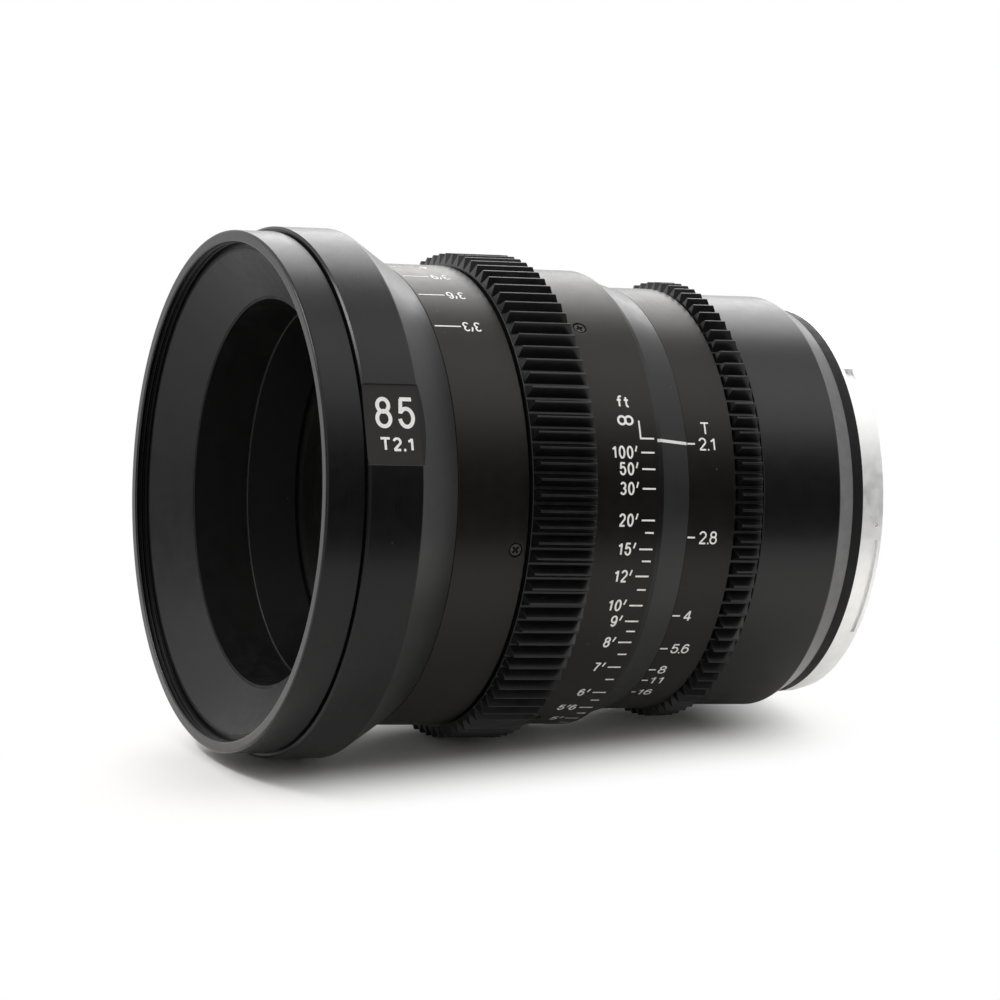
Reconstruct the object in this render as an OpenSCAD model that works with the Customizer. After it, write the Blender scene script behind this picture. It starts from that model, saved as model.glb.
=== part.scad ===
// Cinema prime lens with geared focus and iris rings, unit focusing by a cam
// sleeve, a ten-blade iris and a bayonet mount. Millimetres, drawn along the
// optical axis from the mount flange (0) to the front rim, then laid level.

/* [Front] */
// Nominal diameter of the filter thread
filter_d = 82; // [76:0.5:95]
// Depth of the thread below its nominal radius
thread_depth = 0.4; // [0.3:0.05:0.8]
// Length of the filter thread
thread_len = 2; // [1.5:0.1:3.5]
// Wall of the front ring outside the thread
front_wall = 1.5; // [1:0.1:4]
// Length of the front ring
front_len = 6.55; // [5:0.05:12]
// Width of the groove behind the front ring
groove_w = 0.3; // [0.2:0.05:1.5]
// Depth of that groove
groove_depth = 0.6; // [0.3:0.1:1.2]
// How far the large ring stands out beyond the front ring
big_step = 0.8; // [0.4:0.1:4]
// Length of the large ring
big_len = 9.25; // [7:0.05:14]
// Depth of the flat milled on the large ring for its marking
flat_depth = 0.5; // [0.2:0.05:1]
// Length of the cone behind the large ring
cone_len = 8.4; // [6:0.1:14]
// Thickness of the funnel at its mouth
funnel_wall = 0.5; // [0.3:0.1:1.5]

/* [Focus ring] */
// Wall of the front sleeve of the focus ring
front_sleeve_wall = 1.98; // [1.5:0.02:3]
// Length of the front sleeve
front_sleeve_len = 12.4; // [9:0.1:18]
// Wall of the scale sleeve
scale_wall = 1.88; // [1.5:0.02:3]
// Length of the scale sleeve
scale_len = 12.2; // [9:0.1:18]
// Wall of the focus gear under its teeth
focus_gear_wall = 2.28; // [1.5:0.02:4]
// Length of the focus gear
focus_gear_len = 11.4; // [8:0.1:16]
// Seam between the gear and the front sleeve
seam_w = 0.3; // [0.1:0.05:0.8]
// Gear module of both lens gears
gear_module = 0.8; // [0.6:0.1:1]
// Plain rim in front of the teeth
gear_front_rim = 0.1; // [0.05:0.05:1]
// Plain rim behind the teeth
gear_rear_rim = 0.1; // [0.05:0.05:1.5]
// Turn of the focus ring from far to near, in degrees
focus_throw = 150; // [90:1:170]
// Forward travel of the optical block from far to near
focus_travel = 8.6; // [6:0.1:9]

/* [Iris ring] */
// Wall of the iris ring
iris_wall = 1.85; // [1.4:0.05:3]
// Length of the iris ring
iris_len = 8.4; // [6:0.1:12]
// Wall of the seat that carries the iris gear
iris_seat_wall = 0.55; // [0.4:0.05:1]
// Wall of the iris gear under its teeth
iris_gear_wall = 0.68; // [0.5:0.02:2]
// Length of the iris gear
iris_gear_len = 5.1; // [4.5:0.1:9]
// Turn of the iris ring from wide open to closed, in degrees
iris_throw = 80; // [40:1:84]
// Length of the fixed index ring between the focus and iris rings
index_len = 5.3; // [4:0.1:9]
// How far the index ring lies below the scale sleeve
index_step = 1; // [0.4:0.1:1.1]
// Length of the plain lip that the index ring reaches forward with
index_lip_len = 1; // [0.5:0.1:2]
// Angle of the index line above level, in degrees
index_angle = 25.5; // [-90:0.5:90]

/* [Barrel and mount] */
// Wall of the main barrel
barrel_wall = 1.75; // [1.2:0.05:3]
// Wall of the rear barrel
rear_wall = 1.18; // [0.8:0.02:3]
// Length of the plain part of the rear barrel
rear_len = 14; // [11:0.1:20]
// Length of the bevel at the back of the rear barrel
bevel_len = 3.5; // [2:0.1:6]
// Thickness of the rear barrel's end wall
end_wall = 3.85; // [2.5:0.05:6]
// Diameter of the spacer ring
spacer_d = 64.8; // [62:0.1:72]
// Thickness of the spacer ring
spacer_len = 2; // [1:0.1:5]
// Diameter of the mount's bright ring
mount_d = 64.4; // [62:0.1:72]
// Thickness of the mount from the flange face to the spacer
mount_len = 4.15; // [3:0.05:7]
// Diameter of the flange face
flange_d = 63.6; // [61:0.1:70]
// Thickness of the flange step
flange_len = 1.7; // [1:0.1:2.5]
// Diameter of the bayonet spigot
spigot_d = 43.2; // [42:0.1:45]
// Wall of the spigot
spigot_wall = 1.1; // [0.8:0.05:1.6]
// Length of the spigot behind the flange face
spigot_len = 5; // [4:0.1:7]
// How far the bayonet lugs stand out from the spigot
lug_height = 1.4; // [0.8:0.1:1.8]
// Thickness of the lugs
lug_t = 1.4; // [0.8:0.1:2]
// Pitch circle of the mount screws
screw_circle_d = 56; // [54:0.1:58]

/* [Optics] */
// Outer diameter of the sliding optical block
block_d = 63; // [61:0.1:66]
// Wall of the optical block
block_wall = 2.2; // [1.8:0.05:2.6]
// Clear radius of the front element
front_clear_r = 28.07; // [26:0.01:28.4]
// Diameter of the front doublet
doublet_d = 47.8; // [44:0.1:50]
// Diameter of the rear glass
rear_glass_d = 40; // [37:0.1:42]
// Largest radius of the iris opening
aperture_r = 16.3; // [14:0.1:17]

/* [Hidden] */
// Clearances: turning and sliding fits, seats within one assembly, ring faces
turn_clear = 0.05;
slide_clear = 0.05;
seat_clear = 0.02;
ring_gap = 0.25;
// A cut that reaches past a face by this much leaves no skin
over = 1;
$fn = 96;
// Spheres of glass are cut this finely
glass_fn = 360;

// Stations along the axis, from the flange face to the front rim
z_mount = mount_len;
z_spacer = z_mount + spacer_len;
z_bevel = z_spacer + bevel_len;
z_wall = z_spacer + end_wall;
z_rear = z_bevel + rear_len;
z_iris_gear = z_rear + ring_gap;
z_iris = z_iris_gear + iris_gear_len;
z_index = z_iris + iris_len + ring_gap;
z_scale = z_index + index_len + ring_gap;
z_focus_gear = z_scale + scale_len;
z_front_sleeve = z_focus_gear + focus_gear_len + seam_w;
z_cone = z_front_sleeve + front_sleeve_len + ring_gap;
z_big = z_cone + cone_len;
z_groove = z_big + big_len;
z_front = z_groove + groove_w;
z_rim = z_front + front_len;
z_thread = z_rim - thread_len;

// Radii, outwards from the optical block
block_r = block_d / 2;
block_in = block_r - block_wall;
barrel_in = block_r + slide_clear;
barrel_out = barrel_in + barrel_wall;
barrel_seat = barrel_out + seat_clear;
cam_wall = 2.55;
cam_in = barrel_out + turn_clear;
cam_out = cam_in + cam_wall;
sleeve_in = cam_out + seat_clear;
front_sleeve_r = sleeve_in + front_sleeve_wall;
scale_r = sleeve_in + scale_wall;
iris_r = cam_in + iris_wall;
iris_seat_r = cam_in + iris_seat_wall;
iris_gear_in = iris_seat_r + seat_clear;
rear_r = barrel_seat + rear_wall;
thread_r = filter_d / 2 - thread_depth;
front_r = filter_d / 2 + front_wall;
big_r = front_r + big_step;
spacer_r = spacer_d / 2;
mount_r = mount_d / 2;
flange_r = flange_d / 2;
spigot_r = spigot_d / 2;
throat_r = spigot_r - spigot_wall;

// Front ring, funnel and the joint between front ring and front barrel
funnel_step = 1;
funnel_seat_r = thread_r - funnel_step;
funnel_shelf = 5.1;
z_lip = z_thread - funnel_shelf;
funnel_mouth_r = funnel_seat_r - seat_clear - funnel_wall;
funnel_lip_step = 0.47;
funnel_lip_r = barrel_in + funnel_lip_step;
spigot_joint_len = 4;
joint_wall = 0.9;
joint_r = front_r - groove_depth - joint_wall;
rim_chamfer = 0.3;
edge_chamfer = 0.15;
bore_clear = 0.1;

// Cam sleeve, its thrust washers and the follower pins
washer_t = 0.9;
washer_margin = 0.1;
washer_r = cam_out - washer_margin;
z_cam = z_scale - ring_gap + washer_t + turn_clear;
z_cam_top = z_cone - washer_t - turn_clear;
follower_count = 3;
follower_r = 1.2;
follower_angle = 90;
follower_root = 0.3;
follower_tip = 0.3;
follower_rise = 0.65;
cam_slot_clear = 0.1;
cam_slot_r = follower_r + cam_slot_clear;
z_follower = z_focus_gear + follower_rise;
cam_steps = 24;
helix_stretch = 1.005;

// Ring screws: their row, first angle and sizes
ring_screw_count = 3;
ring_head_r = 1.05;
ring_head_len = 0.8;
ring_head_drop = 0.12;
ring_shank_r = 0.6;
ring_screw_web = 0.7;
ring_screw_end = cam_in + ring_screw_web;
front_screw_angle = -2.3;
rear_screw_angle = 57.3;
front_screw_inset = 2;
rear_screw_inset = 2.1;
z_front_screw = z_front_sleeve + front_screw_inset;
z_rear_screw = z_focus_gear - rear_screw_inset;

// Gear teeth: depth below the pitch circle in modules, tooth widths as shares of the pitch
dedendum = 1.25;
tooth_root_share = 0.46;
tooth_crest_share = 0.055;
tooth_sink = 0.3;
tooth_front_chamfer = 0.55;
tooth_rear_chamfer = 0.7;
crest_clear = 0.1;

// Mount details
lug_count = 3;
lug_span = 56;
lug_angle = 15;
lug_offset = 2.6;
lug_relief = 1;
lug_root = 0.5;
relief_depth = 0.8;
flange_inner_r = spigot_r + lug_height + lug_relief;
mount_screw_count = 4;
mount_head_r = 1.7;
mount_head_len = 1.2;
mount_shank_r = 0.8;
mount_head_drop = 0.15;
mount_screw_angle = 20;
mount_screw_tip = 0.6;
screw_circle_r = screw_circle_d / 2;
screw_web = 2.6;
spacer_in = screw_circle_r - mount_shank_r - screw_web;
wall_hole_step = 0.5;
bevel_step = 0.2;
key_angle = 52;
key_w = 2.3;
key_depth = 0.9;
key_share = 0.7;
lock_from = -32;
lock_to = -0.5;
lock_depth = 0.6;
lock_lip = 0.7;
dot_r = 0.35;
dot_angle = 4;
dot_edge = 0.1;
baffle_t = 1.2;
baffle_w = 3.5;
baffle_inset = 0.6;
baffle_r = throat_r - baffle_w;

// Optical block: pieces stacked forwards from its rear lip
block_gap = 2.5;
block_lip_t = 1.5;
block_lip_w = 2.3;
z_block = z_wall + block_gap;
z_rear_cell = z_block + block_lip_t;
rear_cell_len = 26;
z_base = z_rear_cell + rear_cell_len;
base_t = 1.5;
z_lip_room = z_lip - focus_travel;
cell_r = block_in - seat_clear;

// Iris: ten flat blades, each in a plane tilted through the axis
blade_count = 10;
blade_t = 0.08;
blade_slope = 0.12;
blade_tilt = atan(blade_slope);
blade_phase = 37;
blade_half_span = 60;
blade_trim_angle = 40;
blade_trim_w = 1.5;
blade_trim_past = 2;
blade_trim_deep = 5;
blade_end_r = 1.3;
blade_ratio = 0.3836;
blade_pin_r = 0.55;
pivot_clear = 0.05;
pin_slot_clear = 0.15;
blade_room = 0.3;
pivot_pin_len = 1.8;
drive_pin_len = 2.3;
drive_r = block_in - turn_clear;
skirt_wall = 1.15;
skirt_in = drive_r - skirt_wall;
blade_margin = 0.5;
blade_out = skirt_in - blade_margin;
pivot_inset = 1.1;
pivot_r = blade_out - pivot_inset;
drive_inset = 1.6;
drive_pin_ring_r = blade_out - drive_inset;
base_margin = 0.2;
base_r = skirt_in - base_margin;
base_lap = 0.3;
base_opening_r = aperture_r - base_lap;
z_blade = z_base + base_t + blade_slope * blade_out + blade_room;
disc_rise = 2.75;
disc_t = 1.5;
z_disc = z_blade + disc_rise;
slot_steps = 8;

// Where the blade's pins stand in the tilted plane, and the drive pin's path through the drive ring
pivot_at = pivot_r * [cos(-blade_half_span), sin(-blade_half_span)];
drive_at = drive_pin_ring_r * [cos(blade_half_span), sin(blade_half_span)];
function turn(p, a) = [p[0] * cos(a) - p[1] * sin(a), p[0] * sin(a) + p[1] * cos(a)];
function tilted(p) = let (q = turn(p, -blade_phase))
    [q[0], q[1] * cos(blade_tilt), q[1] * sin(blade_tilt)];
function drive_pin(a) = let (
        base = tilted(pivot_at + turn(drive_at - pivot_at, blade_ratio * a)),
        rise = disc_rise + disc_t / 2 - base[2],
        lean = -tan(blade_tilt) * rise)
    turn(turn([base[0], base[1] + lean], blade_phase), -a);
drive_path = [for (i = [0 : slot_steps]) drive_pin(i * iris_throw / slot_steps)];
slot_half = blade_pin_r + pin_slot_clear;
disc_web = 0.79;
disc_in = min([for (p = drive_path) norm(p)]) - slot_half - disc_web;

// Iris drive: a radial pin from the iris ring into a fork in the drive ring
fork_r = 1;
fork_clear = 0.05;
window_clear = 0.2;
fork_angle = 150;
fork_depth = 0.95;
z_fork = z_iris + iris_len / 2;
fork_cap = 0.4;
skirt_run = 0.3;
z_skirt = z_fork - focus_travel - fork_r - skirt_run;
z_cell_flange = z_skirt - skirt_run;
window_margin = asin((fork_r + window_clear) / barrel_in);
block_window_margin = asin((fork_r + window_clear) / block_in);

// Glass: radii of curvature and edge lengths, rear group then front group
rear_r_glass = rear_glass_d / 2;
doublet_r = doublet_d / 2;
front_glass_r = block_in - seat_clear;
air_gap = 1;
cell_lip_t = 0.5;
cell_lip_w = 2;
rear_flint_curve = 28;
rear_flint_open = 16;
rear_flint_edge = 7;
rear_crown_curve = 38;
rear_crown_edge = 2.8;
rear_front_curve = 150;
rear_back_curve = 70;
rear_edge = 3.1;
front_flint_curve = 26;
front_flint_open = 18.5;
front_flint_edge = 10.25;
front_crown_curve = 42;
front_crown_edge = 6.05;
front_curve = 78;
front_back_curve = 260;
front_edge = 4.67;
front_cell_lip_t = 1.5;
front_cell_lip_w = 4.9;
front_spacer_lap = 1;
disc_room = 0.75;
cell_rim = 0.3;
cell_top_margin = 0.4;
retainer_w = 1.1;
retainer_len = 1.9;
spacer_ring_w = 1.9;
rear_tube_wall = 3.4;
rear_top_flange = 3;

function sag(curve, h) = curve - sqrt(curve * curve - h * h);

z_rear_flint_top = z_base - cell_lip_t - seat_clear;
z_rear_cement = z_rear_flint_top - rear_flint_edge;
z_rear_crown_rim = z_rear_cement - seat_clear - rear_crown_edge;
z_rear_crown_back = z_rear_crown_rim - sag(rear_crown_curve, rear_r_glass);
z_rear_front = z_rear_crown_back - air_gap;
z_rear_rim_top = z_rear_front - sag(rear_front_curve, rear_r_glass);
z_rear_rim = z_rear_rim_top - rear_edge;
z_rear_back = z_rear_rim - sag(rear_back_curve, rear_r_glass);
z_front_cell = z_disc + disc_t + disc_room;
z_front_flint = z_front_cell + front_cell_lip_t + seat_clear;
z_front_cement = z_front_flint + front_flint_edge;
z_front_crown_rim = z_front_cement + seat_clear + front_crown_edge;
z_front_crown_top = z_front_crown_rim + sag(front_crown_curve, doublet_r);
z_front_retainer = z_front_crown_rim + seat_clear
    + sag(front_crown_curve, doublet_r) - sag(front_crown_curve, doublet_r - retainer_w);
z_front_cell_top = z_front_retainer + retainer_len + cell_rim;
z_front_rim = z_front_crown_top + air_gap - sag(front_back_curve, front_glass_r);
z_front_vertex = z_front_rim + front_edge + sag(front_curve, front_glass_r);
z_block_front = z_front_vertex - sag(front_curve, front_clear_r) + seat_clear;
nose_margin = 0.8;
z_nose = z_lip_room - nose_margin;
nose_rim_w = 0.7;
nose_edge_w = 0.35;
nose_seat = 0.4;
nose_lip_r = block_r - nose_rim_w;

// Lays the axis level: distance from the flange runs towards -Y, up stays up
module lay() {
    rotate([90, 0, 0]) children();
}

// A turned piece from its half section, given as [radius, station] points
module turned(section) {
    rotate_extrude() polygon(section);
}

// A plain ring between two radii and two stations
module ring(r_in, r_out, z0, z1) {
    turned([[r_in, z0], [r_out, z0], [r_out, z1], [r_in, z1]]);
}

// A part of a ring between two angles
module ring_sector(r_in, r_out, z0, z1, from, to) {
    rotate([0, 0, from])
        rotate_extrude(angle = to - from)
            polygon([[r_in, z0], [r_out, z0], [r_out, z1], [r_in, z1]]);
}

// A round pin that points outwards from the axis
module radial_pin(r, angle, z, from, to) {
    rotate([0, 0, angle]) translate([from, 0, z]) rotate([0, 90, 0]) cylinder(r = r, h = to - from);
}

// Repeats its children evenly round the axis
module around(count, first = 0) {
    for (i = [0 : count - 1]) rotate([0, 0, first + i * 360 / count]) children();
}

// A lens element. A positive curve bulges out of the element, a negative one hollows it
module element(r, z_back_rim, z_front_rim, back_curve, front_curve_r, open_r = 0) {
    hollow_r = open_r > 0 ? open_r : r;
    bulge_front = front_curve_r > 0 ? sag(front_curve_r, r) : 0;
    bulge_back = back_curve > 0 ? sag(back_curve, r) : 0;
    difference() {
        intersection() {
            translate([0, 0, z_back_rim - bulge_back])
                cylinder(r = r, h = z_front_rim - z_back_rim + bulge_front + bulge_back);
            if (front_curve_r > 0)
                translate([0, 0, z_front_rim + bulge_front - front_curve_r])
                    sphere(r = front_curve_r, $fn = glass_fn);
            if (back_curve > 0)
                translate([0, 0, z_back_rim - bulge_back + back_curve])
                    sphere(r = back_curve, $fn = glass_fn);
        }
        if (front_curve_r < 0)
            translate([0, 0, z_front_rim - sag(-front_curve_r, hollow_r) - front_curve_r])
                sphere(r = -front_curve_r, $fn = glass_fn);
        if (back_curve < 0)
            translate([0, 0, z_back_rim + sag(-back_curve, hollow_r) + back_curve])
                sphere(r = -back_curve, $fn = glass_fn);
    }
}

// A spur ring gear on a plain rim. The tooth count comes from the rim and the module
module gear_ring(bore_r, wall, z0, len, rear_rim, front_rim) {
    teeth = round(2 * (bore_r + wall + dedendum * gear_module) / gear_module);
    pitch_r = teeth * gear_module / 2;
    root_r = pitch_r - dedendum * gear_module;
    crest_r = pitch_r + gear_module;
    sunk_r = root_r - tooth_sink;
    trim_r = crest_r + crest_clear;
    half_root = tooth_root_share * 360 / teeth;
    half_crest = tooth_crest_share * 360 / teeth;
    z_teeth = z0 + rear_rim;
    z_teeth_top = z0 + len - front_rim;
    outline = [for (i = [0 : teeth - 1]) let (a = i * 360 / teeth) each [
        sunk_r * [cos(a - half_root), sin(a - half_root)],
        crest_r * [cos(a - half_crest), sin(a - half_crest)],
        crest_r * [cos(a + half_crest), sin(a + half_crest)],
        sunk_r * [cos(a + half_root), sin(a + half_root)]]];
    difference() {
        union() {
            translate([0, 0, z0]) cylinder(r = root_r, h = len);
            intersection() {
                translate([0, 0, z_teeth - over])
                    linear_extrude(z_teeth_top - z_teeth + 2 * over) polygon(outline);
                turned([[bore_r, z_teeth], [root_r, z_teeth], [trim_r, z_teeth + tooth_rear_chamfer],
                    [trim_r, z_teeth_top - tooth_front_chamfer], [root_r, z_teeth_top],
                    [bore_r, z_teeth_top]]);
            }
        }
        translate([0, 0, z0 - over]) cylinder(r = bore_r, h = len + 2 * over);
    }
}

// One ring screw: a cross-recessed head just under the surface and its shank
module ring_screw(surface_r) {
    top = surface_r - ring_head_drop;
    recess_w = 0.32;
    recess_l = 1.3;
    recess_depth = 0.4;
    difference() {
        union() {
            rotate([0, 90, 0]) translate([0, 0, top - ring_head_len])
                cylinder(r = ring_head_r, h = ring_head_len);
            rotate([0, 90, 0]) translate([0, 0, ring_screw_end])
                cylinder(r = ring_shank_r, h = top - ring_head_len / 2 - ring_screw_end);
        }
        translate([top - recess_depth, -recess_w / 2, -recess_l / 2])
            cube([over, recess_w, recess_l]);
        translate([top - recess_depth, -recess_l / 2, -recess_w / 2])
            cube([over, recess_l, recess_w]);
    }
}

// The hole that a ring screw needs, through the sleeve and into the cam sleeve
module ring_screw_hole(surface_r) {
    head_seat = surface_r - ring_head_drop - ring_head_len - seat_clear;
    rotate([0, 90, 0]) translate([0, 0, head_seat])
        cylinder(r = ring_head_r + seat_clear, h = ring_head_len + over);
    rotate([0, 90, 0]) translate([0, 0, ring_screw_end - seat_clear])
        cylinder(r = ring_shank_r + seat_clear, h = head_seat - ring_screw_end + over / 2);
}

// Places its children at each screw of one row of the focus ring
module at_ring_screws(angle, z) {
    around(ring_screw_count, angle) translate([0, 0, z]) children();
}

// The slot that a follower needs in the turning cam sleeve: a helix with round ends
module cam_slot() {
    r0 = cam_in - over;
    r1 = cam_out + over;
    half = cam_slot_r * helix_stretch;
    rows = [for (i = [0 : cam_steps])
        let (u = i / cam_steps, a = -u * focus_throw, z = z_follower + u * focus_travel)
        each [[r0 * cos(a), r0 * sin(a), z - half], [r1 * cos(a), r1 * sin(a), z - half],
            [r1 * cos(a), r1 * sin(a), z + half], [r0 * cos(a), r0 * sin(a), z + half]]];
    sides = [for (i = [0 : cam_steps - 1], k = [0 : 3]) let (a = 4 * i + k, b = 4 * i + (k + 1) % 4)
        each [[a, a + 4, b], [b, a + 4, b + 4]]];
    last = 4 * cam_steps;
    polyhedron(points = rows, faces = concat([[0, 1, 2], [0, 2, 3]],
        [[last, last + 2, last + 1], [last, last + 3, last + 2]], sides));
    radial_pin(cam_slot_r, 0, z_follower, r0, r1);
    radial_pin(cam_slot_r, -focus_throw, z_follower + focus_travel, r0, r1);
}

// Puts its children into the tilted plane of a blade at the given angle round the axis
module blade_plane(angle) {
    translate([0, 0, z_blade])
        rotate([0, 0, angle + blade_phase]) rotate([blade_tilt, 0, 0]) rotate([0, 0, -blade_phase])
            children();
}

// The corner that a blade loses at one end, so that neighbours pass: side is 1 at the tip, -1 at the tail
function blade_trim(end_r, side) = let (
        near = side * blade_trim_angle,
        past = side * (blade_half_span + blade_trim_past),
        deep = side * (blade_half_span + blade_trim_deep))
    [aperture_r / 2 * [cos(near), sin(near)], aperture_r * [cos(near), sin(near)],
        (end_r - blade_trim_w) * [cos(past), sin(past)], aperture_r / 2 * [cos(deep), sin(deep)]];

// One iris blade: a crescent with a pivot pin behind its tail and a drive pin ahead of its tip
module blade(angle) {
    sector_r = 2 * blade_out;
    blade_plane(angle) {
        translate([0, 0, -blade_t / 2]) linear_extrude(blade_t) {
            difference() {
                intersection() {
                    circle(r = blade_out);
                    polygon([[0, 0], sector_r * [cos(blade_half_span), -sin(blade_half_span)],
                        [sector_r, 0], sector_r * [cos(blade_half_span), sin(blade_half_span)]]);
                }
                circle(r = aperture_r);
                polygon(blade_trim(drive_pin_ring_r, 1));
                polygon(blade_trim(pivot_r, -1));
            }
            translate(pivot_at) circle(r = blade_end_r);
            translate(drive_at) circle(r = blade_end_r);
        }
        translate([pivot_at[0], pivot_at[1], -pivot_pin_len]) cylinder(r = blade_pin_r, h = pivot_pin_len);
        translate([drive_at[0], drive_at[1], 0]) cylinder(r = blade_pin_r, h = drive_pin_len);
    }
}

// The curved slot of one drive pin: a strip along the pin's path with round ends
module drive_slot() {
    way = [for (i = [0 : slot_steps])
        let (d = drive_path[min(i + 1, slot_steps)] - drive_path[max(i - 1, 0)]) d / norm(d)];
    side = [for (d = way) slot_half * [-d[1], d[0]]];
    translate([0, 0, z_disc - over]) {
        linear_extrude(disc_t + 2 * over)
            polygon(concat([for (i = [0 : slot_steps]) drive_path[i] + side[i]],
                [for (i = [slot_steps : -1 : 0]) drive_path[i] - side[i]]));
        translate(drive_path[0]) cylinder(r = slot_half, h = disc_t + 2 * over);
        translate(drive_path[slot_steps]) cylinder(r = slot_half, h = disc_t + 2 * over);
    }
}

// Fixed barrel

module main_barrel() {
    color("dimgray") lay() difference() {
        ring(barrel_in, barrel_out, z_wall, z_lip - slide_clear);
        around(follower_count, follower_angle) {
            guide_half = follower_r + slide_clear;
            translate([barrel_in - over, -guide_half, z_follower])
                cube([barrel_wall + 2 * over, 2 * guide_half, focus_travel]);
            radial_pin(guide_half, 0, z_follower, barrel_in - over, barrel_out + over);
            radial_pin(guide_half, 0, z_follower + focus_travel, barrel_in - over, barrel_out + over);
        }
        ring_sector(barrel_in - over, barrel_out + over, z_fork - fork_r - window_clear,
            z_fork + fork_r + window_clear, fork_angle - window_margin,
            fork_angle + iris_throw + window_margin);
    }
}

module front_barrel() {
    pocket_r = joint_r + seat_clear;
    z_pocket = z_groove - spigot_joint_len;
    flat_span = 2 * sqrt(big_r * big_r - pow(big_r - flat_depth, 2));
    color("#2b2d33") lay() difference() {
        turned([[barrel_seat, z_cone], [front_sleeve_r - edge_chamfer, z_cone],
            [front_sleeve_r, z_cone + edge_chamfer], [big_r, z_big], [big_r, z_groove - edge_chamfer],
            [big_r - edge_chamfer, z_groove], [pocket_r, z_groove], [pocket_r, z_pocket],
            [barrel_seat, z_pocket]]);
        rotate([0, 0, index_angle])
            translate([big_r - flat_depth, -flat_span, z_big - cone_len / 3])
                cube([over + flat_depth, 2 * flat_span, big_len + cone_len / 3 + over]);
    }
}

module filter_ring() {
    z_joint = z_groove - spigot_joint_len + seat_clear;
    groove_r = front_r - groove_depth;
    bore_r = barrel_out + bore_clear;
    color("#34363c") lay()
        turned([[bore_r, z_joint], [joint_r, z_joint], [joint_r, z_groove + seat_clear],
            [groove_r, z_groove + seat_clear], [groove_r, z_front], [front_r - edge_chamfer, z_front],
            [front_r, z_front + edge_chamfer], [front_r, z_rim - rim_chamfer],
            [front_r - rim_chamfer, z_rim], [thread_r, z_rim], [thread_r, z_thread],
            [funnel_seat_r, z_thread],
            [funnel_seat_r, z_lip - seat_clear], [bore_r, z_lip - seat_clear]]);
}

module front_funnel() {
    outer_r = funnel_seat_r - seat_clear;
    color("#8a8f8c") lay()
        turned([[funnel_lip_r, z_lip], [outer_r, z_lip], [outer_r, z_thread], [funnel_mouth_r, z_thread]]);
}

module index_ring() {
    lip_r = scale_r - index_step;
    lip_in = cam_out + turn_clear;
    z1 = z_index + index_len;
    z_lip_top = z1 + index_lip_len;
    color("#5a5c60") lay()
        turned([[barrel_seat, z_index], [iris_r, z_index],
            [lip_r, z1], [lip_r, z_lip_top - edge_chamfer], [lip_r - edge_chamfer, z_lip_top],
            [lip_in, z_lip_top], [lip_in, z1], [barrel_seat, z1]]);
}

module rear_barrel() {
    bevel_r = spacer_r + bevel_step;
    wall_hole_r = spacer_in + wall_hole_step;
    color("#3a3b3f") lay() difference() {
        turned([[wall_hole_r, z_spacer], [bevel_r, z_spacer], [rear_r, z_bevel],
            [rear_r, z_rear - edge_chamfer], [rear_r - edge_chamfer, z_rear], [barrel_seat, z_rear],
            [barrel_seat, z_wall], [wall_hole_r, z_wall]]);
        mount_screw_shafts(seat_clear);
    }
}

// Mount

// The shanks of the mount screws, widened by a clearance for their holes
module mount_screw_shafts(clear) {
    around(mount_screw_count, mount_screw_angle)
        translate([screw_circle_r, 0, mount_head_drop - clear])
            cylinder(r = mount_shank_r + clear, h = z_wall - mount_screw_tip - mount_head_drop + 2 * clear);
}

module mount_spacer() {
    color("#1b1b1d") lay() difference() {
        ring(spacer_in, spacer_r, z_mount + seat_clear, z_spacer - seat_clear);
        mount_screw_shafts(seat_clear);
    }
}

module bayonet_mount() {
    color("#d8d8d8") lay() difference() {
        union() {
            turned([[throat_r, -spigot_len], [spigot_r - edge_chamfer, -spigot_len],
                [spigot_r, edge_chamfer - spigot_len], [spigot_r, relief_depth],
                [flange_inner_r, relief_depth], [flange_inner_r, 0], [flange_r - edge_chamfer, 0],
                [flange_r, edge_chamfer], [flange_r, flange_len], [mount_r, flange_len],
                [mount_r, z_mount], [throat_r, z_mount]]);
            around(lug_count, lug_angle)
                ring_sector(spigot_r - lug_root, spigot_r + lug_height, -lug_offset - lug_t, -lug_offset,
                    0, lug_span);
        }
        mount_screw_shafts(seat_clear);
        around(mount_screw_count, mount_screw_angle)
            translate([screw_circle_r, 0, -over])
                cylinder(r = mount_head_r + seat_clear,
                    h = over + mount_head_drop + mount_head_len + seat_clear);
        rotate([0, 0, key_angle]) translate([mount_r - key_depth, -key_w / 2, flange_len])
            cube([key_depth + over, key_w, (z_mount - flange_len) * key_share]);
        ring_sector(flange_r - lock_depth, mount_r + over, lock_lip, flange_len, lock_from, lock_to);
        radial_pin(dot_r, dot_angle, flange_len - dot_r - dot_edge, flange_r - lock_depth, flange_r + over);
    }
}

module mount_screws() {
    recess_w = 0.45;
    recess_depth = 0.5;
    recess_l = 1.4 * mount_head_r;
    color("#9a9a9c") lay() difference() {
        union() {
            mount_screw_shafts(0);
            around(mount_screw_count, mount_screw_angle)
                translate([screw_circle_r, 0, mount_head_drop])
                    cylinder(r = mount_head_r, h = mount_head_len);
        }
        around(mount_screw_count, mount_screw_angle)
            translate([screw_circle_r, 0, mount_head_drop]) {
                cube([recess_l, recess_w, 2 * recess_depth], center = true);
                cube([recess_w, recess_l, 2 * recess_depth], center = true);
            }
    }
}

module rear_baffle() {
    z0 = baffle_inset - spigot_len;
    color("#141414") lay() ring(baffle_r, throat_r - seat_clear, z0, z0 + baffle_t);
}

module front_thrust_washer() {
    color("#b08d4a") lay() ring(barrel_seat, washer_r, z_cone - washer_t, z_cone);
}

module rear_thrust_washer() {
    z0 = z_scale - ring_gap;
    color("#b08d4a") lay() ring(barrel_seat, washer_r, z0, z0 + washer_t);
}

// Focus ring

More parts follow.
